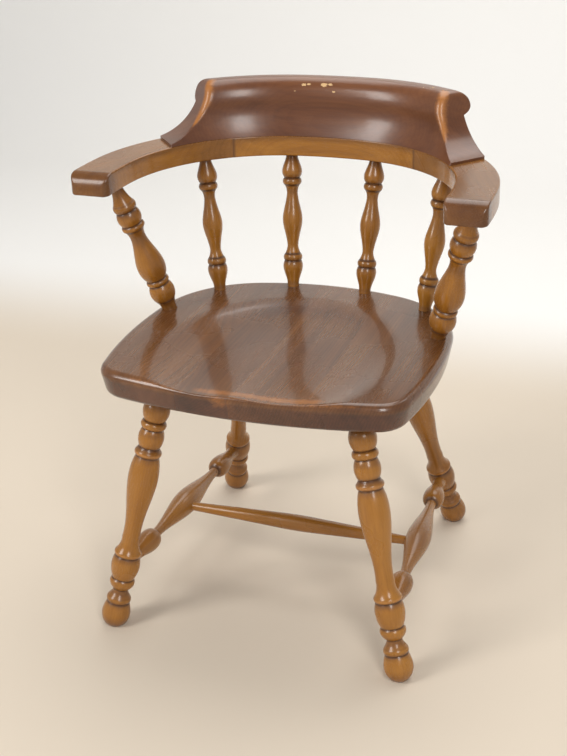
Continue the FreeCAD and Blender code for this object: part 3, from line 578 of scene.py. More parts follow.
def seatEdge():
    # middle, radius and direction of the plan arc at evenly spaced points right round the seat
    turns = [-math.pi / 2, angleOf(seatFront, seatFrontCorner), angleOf(seatSide, seatFrontCorner),
             angleOf(seatSide, seatBackCorner), angleOf(seatBack, seatBackCorner), math.pi / 2]
    middles = np.array([seatFront, seatFrontCorner, seatSide, seatBackCorner, seatBack])
    radii = np.array([seat[key] for key in ("frontRadius", "frontCorner", "sideRadius", "backCorner",
                                            "backRadius")])
    lengths = radii * np.diff(turns)
    ends = np.concatenate([[0], np.cumsum(lengths)])
    place = (np.arange(seat["around"] // 2) + 0.5) / (seat["around"] // 2) * ends[-1]
    k = np.searchsorted(ends, place) - 1
    angle = np.array(turns)[k] + (place - ends[k]) / radii[k]
    middle, radius = middles[k], radii[k]
    outward = np.stack([np.cos(angle), np.sin(angle)], -1)
    flip = np.array([-1, 1])
    return (np.concatenate([middle, middle[::-1] * flip]), np.concatenate([radius, radius[::-1]]),
            np.concatenate([outward, outward[::-1] * flip]))


def hollowShare(x, y):
    # distance from the middle of the hollow, 1 on the ellipse that bounds it
    return np.hypot(x / seat["dishHalfWidth"], (y - seat["dishY"]) / seat["dishHalfLength"])


def seatLevel(x, y):
    # worked top: a power of the distance from the middle of the hollow, and the low ridge between the
    # thighs, a bell curve across that grows with the square of the way forward
    hollow = seat["dishDepth"] * (hollowShare(x, y) ** seat["dishSteepness"] - 1)
    forward = np.clip(seat["frontY"] + seat["pommelLength"] - y, 0, None) / seat["pommelLength"]
    ridge = seat["pommelHeight"] * forward ** 2 * np.exp(-(x / seat["pommelHalfWidth"]) ** 2)
    return seat["rim"] + hollow + ridge


def seatProfile():
    # inset and height down the edge of the plank: flat top, rounding, sloping side, rounding, underside
    inner = seat["rimInset"]
    top, side, foot = (inner, seat["rim"]), (0.0, seat["rim"]), (seat["undercut"], seat["underside"])
    bottom = (inner, seat["underside"])
    upper = roundedCorner(top, side, foot, seat["topRound"], 15)
    lower = roundedCorner(side, foot, bottom, seat["bottomRound"], 11)
    flat = np.linspace(top, upper[0], 11)[:-1]
    slope = np.linspace(upper[-1], lower[0], 9)[1:-1]
    under = np.linspace(lower[-1], bottom, 4)[1:]
    return np.concatenate([flat, upper, slope, lower, under])


def seatSurface():
    # edge profile carried round the outline, and from its inner ends straight lines to the middle
    middle, radius, outward = seatEdge()
    profile = seatProfile()
    plan = middle[None] + (radius[None, :, None] - profile[:, :1, None]) * outward[None]
    height = np.repeat(profile[:, 1:], len(radius), 1)
    centre = np.array(seat["middle"])
    topPlan = centre + (plan[0] - centre) * np.linspace(0, 1, 58)[1:-1, None, None]
    underPlan = centre + (plan[-1] - centre) * np.linspace(1, 0, 9)[1:-1, None, None]
    plan = np.concatenate([topPlan, plan, underPlan])
    height = np.concatenate([np.full(topPlan.shape[:2], seat["rim"]), height,
                             np.full(underPlan.shape[:2], seat["underside"])])
    worked = softMin(height, seatLevel(plan[..., 0], plan[..., 1]), seat["dishEase"])
    upperHalf = height > seat["underside"] + seat["thickness"] / 2
    height = np.where(upperHalf, worked, height)
    return np.concatenate([plan, height[..., None]], -1)


def seatMasks(points):
    # toner darkest on the edge; a painted dark reflection across the back slope of the hollow; rubbed
    # through in a band behind the front arris, along the arris itself, where a painted highlight is added
    # as well, and in a patch of the front face
    x, y, z = points.T
    behind = y - seatFront[1] + np.sqrt(seat["frontRadius"] ** 2 - x ** 2)      # behind the front arc
    darkEnd, topStart = seat["tonerEdge"]
    onTop = softStep(z, seat["rim"] - darkEnd, seat["rim"] - topStart)
    # painted dark reflection: a band across the back slope of the hollow, strongest in the middle
    paintedReflection = bump(hollowShare(x, y), *seat["paintedReflectionBand"]) * softStep(y, 0.0, 0.07)
    paintedReflection *= 1 - softStep(np.abs(x), 0.06, 0.14)
    # toner on the top, with the painted dark reflection added
    topToner = seat["topToner"] + seat["hollowPaintedReflection"] * paintedReflection
    toner = seat["edgeToner"] + (topToner - seat["edgeToner"]) * onTop
    left, right = seat["wornBand"]
    band = onTop * bump(behind, *seat["wornBandPlace"]) * softStep(x, left, left + 0.05)
    band *= 1 - softStep(x, right - 0.03, right + 0.01)
    # rubbed front arris, which is also a painted highlight line
    arris = onTop * bump(behind, *seat["arrisPlace"]) * (1 - softStep(np.abs(x), 0.16, 0.19))
    (middleX, middleZ), (wide, high) = seat["wornPatch"], seat["wornPatchSize"]
    patch = bump(x, middleX, wide) * bump(z, middleZ, high) * (1 - softStep(behind, 0.004, 0.010))
    wears = seat["wornBandWear"] * band, seat["arrisWear"] * arris, seat["wornPatchWear"] * patch
    return {"toner": toner, "worn": np.max(wears, axis=0)}


def makeSeat():
    # the same plank each time, cut at the seams; each board's grain comes from another part of a log
    # and runs a little aslant
    rings = seatSurface()
    points = closedTube(rings)
    points[-2, 2] = seatLevel(*seat["middle"])
    faces = tubeFaces(*rings.shape[:2])
    edges = (None,) + seat["seams"] + (None,)
    for number, (left, right) in enumerate(zip(edges, edges[1:]), 1):
        board = makeMesh("seat_board_%d_wood" % number, points, faces)
        if left is not None:
            cutMesh(board, (left, 0, 0), (-1, 0, 0))
        if right is not None:
            cutMesh(board, (right, 0, 0), (1, 0, 0))
        writeMasks(board, seatMasks(meshPoints(board)))
        tidyMesh(board)
        grain = (0.02 * (number - 2.5), 1, 0)
        setGrain(board, (0, 0, seat["grainHeart"]), grain, (0.03 + 0.07 * number, 0.05, 0.9 * number))
        placePiece(board, "seat_board_%d" % number, "seat_wood")


makeSeat()
print("seat boards worked")


# Turned pieces: an outline drawn along the axis and spun about it

class Turning:
    # places along the axis with radii; grooves and rings are kept for the finish
    def __init__(self, start, diameter):
        self.outline = [np.array([[start, diameter / 2]])]
        self.place = start
        self.diameter = diameter
        self.grooves = []
        self.rubs = []
        self.tones = []

    def extend(self, points):
        self.outline.append(points[1:])
        self.place = points[-1, 0]
        self.diameter = 2 * points[-1, 1]

    def taper(self, length, diameter):
        # straight run
        end = (self.place + length, diameter / 2)
        self.extend(np.linspace((self.place, self.diameter / 2), end, max(2, round(length / 0.004) + 1)))

    def bead(self, length, greatest, end, below=1.0, above=1.0, rub=0.0):
        # round ring or ball: one arc through its greatest diameter at mid length
        start = self.place
        widest, last = (start + length / 2, greatest / 2), (start + length, end / 2)
        self.extend(arcThrough((start, self.diameter / 2), widest, last, max(9, round(length / 0.0011))))
        self.grooves += [(start, 0.0022, below), (self.place, 0.0022, above)]
        self.rubs.append((start + length / 2, length * 0.3, rub))

    def curve(self, length, stations, groove=0.0):
        # smooth curve through stations, each a share of the length and a diameter
        points = [(self.place, self.diameter / 2)]
        points += [(self.place + share * length, diameter / 2) for share, diameter in stations]
        self.grooves.append((self.place, 0.002, groove))
        self.extend(smoothCurve(points, max(9, round(length / 0.0016))))

    # a darker band along the axis: painted shade under a ring, at the foot, or where the piece meets the
    # seat or the bow
    def tone(self, place, width, amount):
        self.tones.append((place, width, amount))

    def masks(self, base):
        # each mask is the greatest of its bell curves along the axis
        s = np.concatenate(self.outline)[:, 0]
        found = {}
        for key, marks in (("groove", self.grooves), ("worn", self.rubs), ("toner", self.tones)):
            bells = [amount * bump(s, place, width) for place, width, amount in marks if amount]
            found[key] = np.max(bells, axis=0) if bells else np.zeros(len(s))
        # the painted shade marks, never below the piece's own toner
        found["toner"] = np.maximum(found["toner"], base)
        return found

    def mesh(self, name, base, direction, toner, around=72):
        # each outline point goes to base + place along the axis + radius (cos, sin) across it
        outline = np.concatenate(self.outline)
        along = unit(direction)
        side = unit(np.cross(along, (0.0, 1.0, 0.13)))
        third = np.cross(along, side)
        angle = np.arange(around) / around * 2 * math.pi
        across = np.cos(angle)[:, None] * side + np.sin(angle)[:, None] * third
        rings = np.asarray(base) + outline[:, :1, None] * along + outline[:, 1:, None] * across
        masks = {key: alongTube(values, around) for key, values in self.masks(toner).items()}
        return makeMesh(name, closedTube(rings), tubeFaces(len(outline), around), masks)


def finishTurned(mesh, node, base, direction, seed):
    # each blank is sawn from another place in the log, some way off the pith
    tidyMesh(mesh)
    offset = (0.045 + 0.011 * (seed % 3), 0.02 * ((seed * 7) % 5 - 2), 1.7 * seed)
    setGrain(mesh, base, direction, offset, 1.3 * seed)
    placePiece(mesh, node, "turned_wood")


legs = {
    "underside": seat["underside"], "tenonDepth": 0.027,
    "ballHeight": 0.017,
    "front": {"top": (seat["halfWidth"] - 0.0952, seat["frontY"] + 0.0874),
              "splay": 11.755, "rake": -9.622, "toner": 0.2},
    "rear": {"top": (seat["halfWidth"] - 0.1174, seat["backY"] - 0.0870),
             "splay": 11.562, "rake": 18.133, "toner": 0.3},
    "footDiameter": 0.0436, "footLength": 0.0435, "footBelow": 0.0205, "footNeck": 0.034,
    "ring": 0.0375, "ringWidth": 0.0095, "waist": 0.0236, "waistLength": 0.013, "upperRingWidth": 0.019,
    "bulb": 0.044, "bulbLength": 0.0395, "bulbWidest": 0.0197, "bulbEnd": 0.035,
    "collar": 0.0415, "collarWidth": 0.009, "flareLength": 0.022,
    "vaseFoot": 0.0276, "vase": 0.0456, "vaseTop": 0.0346,
    "capRing": 0.041, "capRingWidth": 0.010, "capSlope": 0.0365, "capSlopeLength": 0.0045,
    "bead": 0.0388, "beadLength": 0.030, "beadEnd": 0.031,
    "topRing": 0.0386, "topRingWidth": 0.013, "topBead": 0.0406, "topBeadLength": 0.0325,
    "neckLength": 0.016, "tenon": 0.027, "tenonShow": 0.005,
}


def legAxis(row):
    # middle of the ball foot, and where the axis meets the seat, on the +X side
    sizes = legs[row]
    drop = legs["underside"] - legs["ballHeight"]
    top = np.array([*sizes["top"], legs["underside"]])
    splay, rake = (math.tan(math.radians(sizes[key])) for key in ("splay", "rake"))
    return top + drop * np.array([splay, rake, -1.0]), top


def legTurning(row):
    # the pattern from the foot up; the vase takes up the length that is left
    foot, top = legAxis(row)
    d = legs
    t = Turning(-d["footBelow"], d["footNeck"] * 0.45)
    ball = d["footDiameter"]
    t.curve(d["footLength"], [(0.2, ball * 0.82), (d["footBelow"] / d["footLength"], ball),
                              (0.76, ball * 0.94), (1.0, d["footNeck"])])
    # the tone marks paint shade under the ball foot, under the rings and the bulb, round the vase's top
    # and under the seat
    t.tone(-d["footBelow"], 0.020, 0.9)
    t.tone(t.place, 0.006, 0.7)
    t.bead(d["ringWidth"], d["ring"], d["ring"] * 0.92, 1.0, 0.4, 0.3)
    t.curve(d["waistLength"], [(0.45, d["waist"] * 1.13), (0.8, d["waist"]), (1.0, d["waist"])], 0.3)
    t.tone(t.place - 0.005, 0.008, 0.8)
    t.curve(d["upperRingWidth"],
            [(0.22, d["ring"] * 0.85), (0.48, d["ring"]), (1.0, d["bulbEnd"] * 0.94)], 0.9)
    t.rubs.append((t.place - 0.5 * d["upperRingWidth"], 0.004, 0.35))
    t.curve(d["bulbLength"], [(0.25, d["bulb"] * 0.92), (d["bulbWidest"] / d["bulbLength"], d["bulb"]),
                              (1.0, d["bulbEnd"] * 1.06)], 1.0)
    t.tone(t.place - 0.002, 0.006, 0.8)
    t.bead(d["collarWidth"], d["collar"], d["collar"] * 0.9, 1.0, 0.0, 0.6)
    t.curve(d["flareLength"], [(0.3, d["vaseFoot"] * 1.12), (1.0, d["vaseFoot"])])
    above = sum(d[key] for key in ("capRingWidth", "capSlopeLength", "beadLength", "topRingWidth",
                                   "topBeadLength", "neckLength", "tenonShow"))
    vase = np.linalg.norm(top - foot) - t.place - above
    t.curve(vase, [(0.3, d["vaseFoot"] * 1.12), (0.76, d["vase"]), (1.0, d["vaseTop"])])
    t.tone(t.place, 0.010, 0.7)
    t.bead(d["capRingWidth"], d["capRing"], d["capSlope"], 0.9, 0.0, 0.7)
    t.tone(t.place + 0.003, 0.006, 1.0)
    t.taper(d["capSlopeLength"], d["beadEnd"])
    t.bead(d["beadLength"], d["bead"], d["beadEnd"], 1.0, 0.9)
    t.tone(t.place - 0.2 * d["beadLength"], 0.006, 0.6)
    t.bead(d["topRingWidth"], d["topRing"], d["beadEnd"], 0.9, 0.9, 0.3)
    t.bead(d["topBeadLength"], d["topBead"], d["beadEnd"], 0.9, 0.7)
    t.tone(t.place, 0.012, 0.8)
    t.curve(d["neckLength"], [(0.5, d["tenon"] * 1.04), (1.0, d["tenon"])])
    depth = d["tenonDepth"] * np.linalg.norm(top - foot) / (top - foot)[2]
    t.taper(d["tenonShow"] + depth, d["tenon"])
    return t


def makeLegs():
    for row in ("front", "rear"):
        foot, top = legAxis(row)
        turning = legTurning(row)
        for name, side in sides.items():
            node = "leg_%s_%s" % (row, name)
            base, direction = sideways(foot, side), sideways(top - foot, side)
            mesh = turning.mesh(node + "_wood", base, direction, legs[row]["toner"])
            cutMesh(mesh, (0, 0, 0), (0, 0, -1))
            finishTurned(mesh, node, base, direction, len(node) + side)


makeLegs()

stretchers = {
    "overBulb": 0.0003, "end": 0.0215, "endShow": 0.003, "depth": 0.014,
    "ball": 0.0345, "ballPlace": 0.081, "ballNose": 0.015, "neck": 0.0156, "middle": 0.0395,
    "crossPlace": 0.474, "crossEnd": 0.014, "crossDepth": 0.014,
    "crossSwell": 0.0252, "crossMiddle": 0.0265, "swellLength": 0.060,
    "sideToner": 0.62, "crossToner": 0.5,
}


def sideStretcherAxis():
    # where the right side stretcher's axis meets those of the front and the rear leg
    upLeg = (legs["footLength"] - legs["footBelow"] + legs["ringWidth"] + legs["waistLength"]
             + legs["upperRingWidth"] + legs["bulbWidest"] + stretchers["overBulb"])
    ends = []
    for row in ("front", "rear"):
        foot, top = legAxis(row)
        ends.append(foot + upLeg * unit(top - foot))
    return ends


def makeSideStretchers():
    # cone, ball and neck at both ends, and a long swelling between the necks
    front, rear = sideStretcherAxis()
    d = stretchers
    end, ball, neck, middle = d["end"], d["ball"], d["neck"], d["middle"]
    start = legs["bulb"] / 2 - d["depth"]
    straight = d["depth"] + d["endShow"]
    cone = d["ballPlace"] + d["ballNose"] - start - straight
    run = np.linalg.norm(rear - front) - 2 * (d["ballPlace"] + d["ballNose"])
    t = Turning(start, end)
    t.taper(straight, end)
    t.curve(cone, [(0.36, end * 1.18), (0.78, ball), (0.93, ball * 0.82), (1.0, neck)])
    t.grooves.append((t.place, 0.003, 0.9))
    t.curve(run, [(0.12, neck * 1.13), (0.36, middle * 0.86), (0.5, middle), (0.64, middle * 0.86),
                  (0.88, neck * 1.13), (1.0, neck)])
    t.grooves.append((t.place, 0.003, 0.9))
    t.curve(cone, [(0.07, ball * 0.82), (0.22, ball), (0.64, end * 1.18), (1.0, end)])
    t.taper(straight, end)
    for name, side in sides.items():
        node = "side_stretcher_" + name
        base, direction = sideways(front, side), sideways(rear - front, side)
        mesh = t.mesh(node + "_wood", base, direction, d["sideToner"])
        finishTurned(mesh, node, base, direction, 4 + side)


def makeCrossStretcher():
    # plain double taper, rounded in the middle
    front, rear = sideStretcherAxis()
    d = stretchers
    crossing = front + d["crossPlace"] * (rear - front)
    mouth = crossing[0] - d["middle"] / 2
    run = mouth - d["swellLength"] / 2
    t = Turning(-mouth - d["crossDepth"], d["crossEnd"])
    t.taper(d["crossDepth"], d["crossEnd"])
    t.taper(run, d["crossSwell"])
    t.bead(d["swellLength"], d["crossMiddle"], d["crossSwell"], 0.0, 0.0)
    t.taper(run, d["crossEnd"])
    t.taper(d["crossDepth"], d["crossEnd"])
    base = (0.0, crossing[1], crossing[2])
    mesh = t.mesh("cross_stretcher_wood", base, (1, 0, 0), d["crossToner"])
    finishTurned(mesh, "cross_stretcher", base, (1, 0, 0), 8)


makeSideStretchers()
makeCrossStretcher()
print("legs and stretchers turned")


# Plan of the bow, which the sticks, the arms and the crest share

bow = {
    "under": 0.646, "thickness": 0.032, "width": 0.061,
    "innerBackY": 0.1767, "innerHalfWidth": 0.2457, "widestY": -0.0773,
    "backRadius": 0.500, "cornerRadius": 0.215, "sideRadius": 0.700,
    "jointAngle": math.radians(57.5), "edgeRound": 0.0025,
    "tipY": -0.1023, "tipFace": 0.011, "tipCorner": 0.012, "tipEase": 0.0022,
}
bow["top"] = bow["under"] + bow["thickness"]
bowBack = (0.0, bow["innerBackY"] - bow["backRadius"])
bowSide = (bow["innerHalfWidth"] - bow["sideRadius"], bow["widestY"])
bowCorner = cornerCentre(bowBack, bow["backRadius"], bowSide, bow["sideRadius"], bow["cornerRadius"])
backTurn = angleOf(bowBack, bowCorner)
sideTurn = angleOf(bowSide, bowCorner)


# Spindles and arm posts

sticks = {
    "seatDepth": 0.022, "bowInset": 0.028, "bowDepth": 0.019, "show": 0.003, "toner": 0.08,
    # inset from the seat's outline, and degrees round its arcs
    "innerSeat": (0.0185, 8.7), "outerSeat": (0.0207, 47.5), "postSeat": (0.0231, 3.5),
    "innerBow": 7.55, "outerBow": 47.3, "postSetback": 0.0744,
    "foot": 0.019, "footLength": 0.0175, "bulb": 0.032, "bulbLength": 0.021, "groove": 0.025,
    "bead": 0.0304, "beadWidth": 0.0115, "cove": 0.013, "neck": 0.0175, "vase": 0.032,
    "topBulbLength": 0.0385, "top": 0.0184,
    "postFoot": 0.023, "postFootLength": 0.0145, "postBall": 0.0402, "postBallLength": 0.029,
    "postGroove": 0.031, "postRing": 0.0366, "postRingWidth": 0.0095, "postVase": 0.0444,
    "postNeck": 0.0242, "postNeckToBead": 0.015, "postUpperBall": 0.0382, "postUpperBallLength": 0.023,
    "postTopRingWidth": 0.0125, "postTop": 0.018, "postTopNeck": 0.0325,
}


def stickAxes():
    # where each stick's axis meets the seat and the underside of the bow, on the +X side
    def onSeat(middle, radius, inset, degrees):
        return np.append(onCircle(middle, radius - inset, math.radians(degrees)), seat["rim"])

    def onBow(middle, radius, degrees):
        plan = onCircle(middle, radius + sticks["bowInset"], math.radians(degrees))
        return np.append(plan, bow["under"])

    postY = bow["tipY"] + sticks["postSetback"]
    reach = bow["sideRadius"] + sticks["bowInset"]
    postX = bowSide[0] + math.sqrt(reach ** 2 - (postY - bowSide[1]) ** 2)
    inset, degrees = sticks["innerSeat"]
    return {
        "inner": (onSeat(seatBack, seat["backRadius"], inset, 90 - degrees),
                  onBow(bowBack, bow["backRadius"], 90 - sticks["innerBow"])),
        "outer": (onSeat(seatBackCorner, seat["backCorner"], *sticks["outerSeat"]),
                  onBow(bowCorner, bow["cornerRadius"], sticks["outerBow"])),
        "post": (onSeat(seatBackCorner, seat["backCorner"], *sticks["postSeat"]),
                 np.array([postX, postY, bow["under"]])),
    }


def spindleTurning(length, rise):
    # foot, bulb, bead and cove, the vase, and the same again under a long bulb at the top
    d = sticks
    neck, groove = d["neck"], d["groove"]
    t = Turning(-d["seatDepth"] / rise, d["foot"])
    t.taper(d["seatDepth"] / rise + d["show"], d["foot"])
    # the tone marks paint shade where the spindle meets the seat and the bow, under its beads and on its
    # vase
    t.tone(d["show"], 0.006, 0.7)
    t.curve(d["footLength"] + d["bulbLength"],
            [(0.25, d["foot"] * 1.16), (0.77, d["bulb"]), (1.0, groove * 1.08)])
    t.tone(t.place, 0.006, 0.7)
    t.bead(d["beadWidth"], d["bead"], groove, 1.0)
    t.curve(d["cove"], [(0.3, neck * 1.23), (0.65, neck * 1.07), (1.0, neck)], 0.8)
    above = d["cove"] + d["beadWidth"] + d["topBulbLength"] + d["show"]
    vase = length - t.place - above
    middle = t.place + vase / 2
    t.curve(vase, [(0.25, d["vase"] * 0.78), (0.5, d["vase"]), (0.75, d["vase"] * 0.78), (1.0, neck)])
    t.tone(middle + 0.03, 0.02, 0.45)
    t.tone(t.place + 0.004, 0.010, 0.7)
    t.curve(d["cove"], [(0.35, neck * 1.05), (0.7, neck * 1.17), (1.0, groove)])
    t.bead(d["beadWidth"], d["bead"], groove, 1.0)
    t.tone(t.place, 0.008, 0.8)
    t.curve(d["topBulbLength"], [(0.26, d["bulb"]), (0.66, d["top"] * 1.28), (1.0, d["top"])])
    t.tone(t.place, 0.024, 1.0)
    t.taper(d["show"] + d["bowDepth"] / rise, d["top"])
    return t


def postTurning(length, rise):
    # the heavier pattern of the posts: ball and ring, vase, ring, ball and ring
    d = sticks
    groove = d["postGroove"]
    t = Turning(-d["seatDepth"] / rise, d["postFoot"])
    t.taper(d["seatDepth"] / rise + d["show"], d["postFoot"])
    # the tone marks paint shade where the post meets the seat and the bow, and under its rings
    t.tone(0.0, 0.012, 0.95)
    t.curve(d["postFootLength"], [(0.5, d["postFoot"] * 1.1), (1.0, groove)])
    t.tone(t.place - 0.004, 0.008, 0.8)
    t.bead(d["postBallLength"], d["postBall"], groove, 0.8, 0.9)
    t.bead(d["postRingWidth"], d["postRing"], groove, 0.9, 0.9, 0.25)
    above = (d["postNeckToBead"] + d["postRingWidth"] + d["postUpperBallLength"] + d["postTopRingWidth"]
             + d["postTopNeck"] + d["show"])
    vase = length - t.place - above
    t.curve(vase, [(0.28, d["postVase"]), (0.62, d["postVase"] * 0.82), (1.0, d["postNeck"])], 0.8)
    t.tone(t.place, 0.012, 0.6)
    t.curve(d["postNeckToBead"], [(0.5, d["postNeck"] * 1.05), (1.0, groove)])
    t.bead(d["postRingWidth"], d["postRing"], groove, 0.9, 0.9, 0.2)
    t.bead(d["postUpperBallLength"], d["postUpperBall"], groove, 0.9, 1.0)
    t.tone(t.place, 0.008, 0.8)
    t.bead(d["postTopRingWidth"], d["postRing"], d["postRing"] * 0.89, 1.0, 0.5)
    t.curve(d["postTopNeck"],
            [(0.31, d["postTop"] * 1.36), (0.68, d["postTop"] * 1.06), (1.0, d["postTop"])], 0.4)
    t.tone(t.place, 0.020, 0.85)
    t.taper(d["show"] + d["bowDepth"] / rise, d["postTop"])
    return t


def makeSticks():
    nodes = {"inner": "back_spindle_inner_%s", "outer": "back_spindle_outer_%s", "post": "arm_post_%s"}
    for number, (kind, (foot, top)) in enumerate(stickAxes().items()):
        length = np.linalg.norm(top - foot)
        rise = (top - foot)[2] / length
        turning = (postTurning if kind == "post" else spindleTurning)(length, rise)
        for name, side in sides.items():
            node = nodes[kind] % name
            base, direction = sideways(foot, side), sideways(top - foot, side)
            mesh = turning.mesh(node + "_wood", base, direction, sticks["toner"])
            finishTurned(mesh, node, base, direction, 10 + 3 * number + side)


makeSticks()
print("spindles and posts turned")


# Bow: a flat rail of rounded oblong section, in three pieces

def sectionLoop():
    # unit outline of a rounded oblong: for each point its corner (or share of a side) and its normal
    fan = np.linspace(0, math.pi / 2, 7)
    share = np.array([0.04, 0.12, 0.3, 0.5, 0.7, 0.88, 0.96]) * 2 - 1
    corner, normal = [], []
    for k, (sx, sy) in enumerate(((1, 1), (-1, 1), (-1, -1), (1, -1))):
        angle = fan + k * math.pi / 2
        corner += [(sx, sy)] * len(fan)
        normal += list(zip(np.cos(angle), np.sin(angle)))
        nx, ny = ((-1, 1), (-1, -1), (1, -1), (1, 1))[k]
        steps = [(sx * -s if nx != sx else sx, sy * -s if ny != sy else sy) for s in share]
        corner += steps
        normal += [(math.cos(angle[-1]), math.sin(angle[-1]))] * len(steps)
    return np.array(corner), np.array(normal)


def bowSection(halfWidth, halfHeight, radius):
    # inset from the middle line and height above it, for every station and loop point
    corner, normal = sectionLoop()
    across = corner[:, 0] * (halfWidth - radius) + radius * normal[:, 0]
    rise = corner[:, 1] * (halfHeight - radius) + radius * normal[:, 1]
    return across, rise


def quarterFall(radius, run):
    # how far a quarter circle falls back, by the way from its end: r - sqrt(r^2 - (r - run)^2), 0 past r
    left = np.clip(radius - run, 0, None)
    return radius - np.sqrt(np.clip(radius ** 2 - left ** 2, 0, None))


def armSurface():
    # stations down the corner arc and the side arc, the last ones square to Y; the top rolls over in a
    # quarter circle before the tip, and the tip's own corners and edges are eased
    half = bow["width"] / 2
    across, rise = bowSection(half, bow["thickness"] / 2, bow["edgeRound"])
    fromCorner, fromSide = bow["cornerRadius"] + half + across, bow["sideRadius"] + half + across
    corner = np.linspace(bow["jointAngle"], sideTurn, 46)[:, None]
    reach = 1 - np.linspace(1, 0, 58)[1:, None] ** 1.6
    tipAngle = np.arcsin((bow["tipY"] - bowSide[1]) / fromSide)
    angle = sideTurn + (tipAngle - sideTurn) * reach
    plan = np.concatenate([onCircle(bowCorner, fromCorner, corner), onCircle(bowSide, fromSide, angle)])
    fromTip = np.clip(plan[..., 1] - bow["tipY"], 0, None)
    edgeIn = quarterFall(bow["tipEase"], fromTip)
    squeeze = 1 - (quarterFall(bow["tipCorner"], fromTip) + edgeIn) / half
    halfHeight = (bow["thickness"] - quarterFall(bow["thickness"] - bow["tipFace"], fromTip)) / 2
    _, tall = bowSection(half, halfHeight, bow["edgeRound"])
    height = bow["under"] + halfHeight + tall * (1 - edgeIn / halfHeight)
    middleX = plan.mean(1, keepdims=True)[..., 0]
    x = middleX + (plan[..., 0] - middleX) * squeeze
    return np.stack([x, plan[..., 1], height], -1), across, rise


def backSurface():
    # stations round the corner arc, the back arc and the other corner arc
    half = bow["width"] / 2
    across, rise = bowSection(half, bow["thickness"] / 2, bow["edgeRound"])
    corner = np.linspace(bow["jointAngle"], backTurn, 20)[:, None]
    back = np.linspace(backTurn, math.pi - backTurn, 40)[1:-1, None]
    right = onCircle(bowCorner, bow["cornerRadius"] + half + across, corner)
    middle = onCircle(bowBack, bow["backRadius"] + half + across, back)
    left = right[::-1] * np.array([-1, 1])
    plan = np.concatenate([right, middle, left])
    height = np.broadcast_to(bow["under"] + bow["thickness"] / 2 + rise, plan.shape[:2])
    return np.concatenate([plan, height[..., None]], -1), across, rise


bowTone = {
    "inside": 0.06, "top": 0.55, "outside": 0.22,       # toner on the inner face, and what the others add
    "tip": 0.85, "corner": 0.5,                         # least toner at an arm's tip and at its corner
    "joint": 0.8,                                       # dirt in the glue line
    "arrisWear": 0.5, "arrisWidth": 0.003,
}


def bowMasks(rings, across, rise, tipped):
    # toner over the top and the outside, little on the inner face, deep at the tip of an arm;
    # a dark hairline at the glue joint, and rubbed arrises that fade at the tip
    d = bowTone
    half, high = bow["width"] / 2, bow["thickness"] / 2
    upward = softStep(rise, 0.2 * high, 0.95 * high)
    outward = softStep(across, -0.9 * half, -0.6 * half)
    arris = bump(np.abs(across), half, d["arrisWidth"]) * bump(rise, high, d["arrisWidth"])
    toner = d["inside"] + d["top"] * upward + d["outside"] * outward * (1 - upward)
    toner = np.broadcast_to(toner, rings.shape[:2])
    worn = np.broadcast_to(d["arrisWear"] * arris, rings.shape[:2])
    groove = np.zeros(rings.shape[:2])
    groove[0] = d["joint"]
    if tipped:
        y = rings[..., 1]
        worn = worn * softStep(y - bow["tipY"], 0.012, 0.030)
        atTip = d["tip"] * (1 - softStep(y - bow["tipY"], 0.012, 0.05))
        toner = np.max([toner, atTip, d["corner"] * softStep(y, 0.05, 0.13)], axis=0)
    else:
        groove[-1] = d["joint"]

    def withEnds(values):
        return np.concatenate([values.ravel(), values[0, :1], values[-1, :1]])

    return {"toner": withEnds(toner), "groove": withEnds(groove), "worn": withEnds(worn)}


def makeBow():
    rings, across, rise = armSurface()
    masks = bowMasks(rings, across, rise, True)
    middleLine = bow["cornerRadius"] + bow["width"] / 2
    joint = np.append(onCircle(bowCorner, middleLine, bow["jointAngle"]), bow["top"])
    tip = np.array([bow["innerHalfWidth"] + bow["width"] / 2, bow["tipY"], bow["top"]])
    points, faces = closedTube(rings), tubeFaces(*rings.shape[:2])
    for name, side in sides.items():
        node = "arm_" + name
        mesh = makeMesh(node + "_wood", sideways(points, side), faces, masks)
        tidyMesh(mesh)
        log = (0.06, 0.03 + 0.05 * side, 3.0 + side)
        setGrain(mesh, sideways(joint, side), sideways(tip - joint, side), log)
        placePiece(mesh, node, "bow_wood")
    rings, across, rise = backSurface()
    masks = bowMasks(rings, across, rise, False)
    mesh = makeMesh("bow_back_wood", closedTube(rings), tubeFaces(*rings.shape[:2]), masks)
    tidyMesh(mesh)
    setGrain(mesh, (0, bow["innerBackY"], bow["under"]), (1, 0, 0), (0.055, 0.02, 7.0))
    placePiece(mesh, "bow_back", "bow_wood")


makeBow()
print("bow glued up")


# Crest rail: level slices, each a closed loop round the bow with the saw cut at both ends

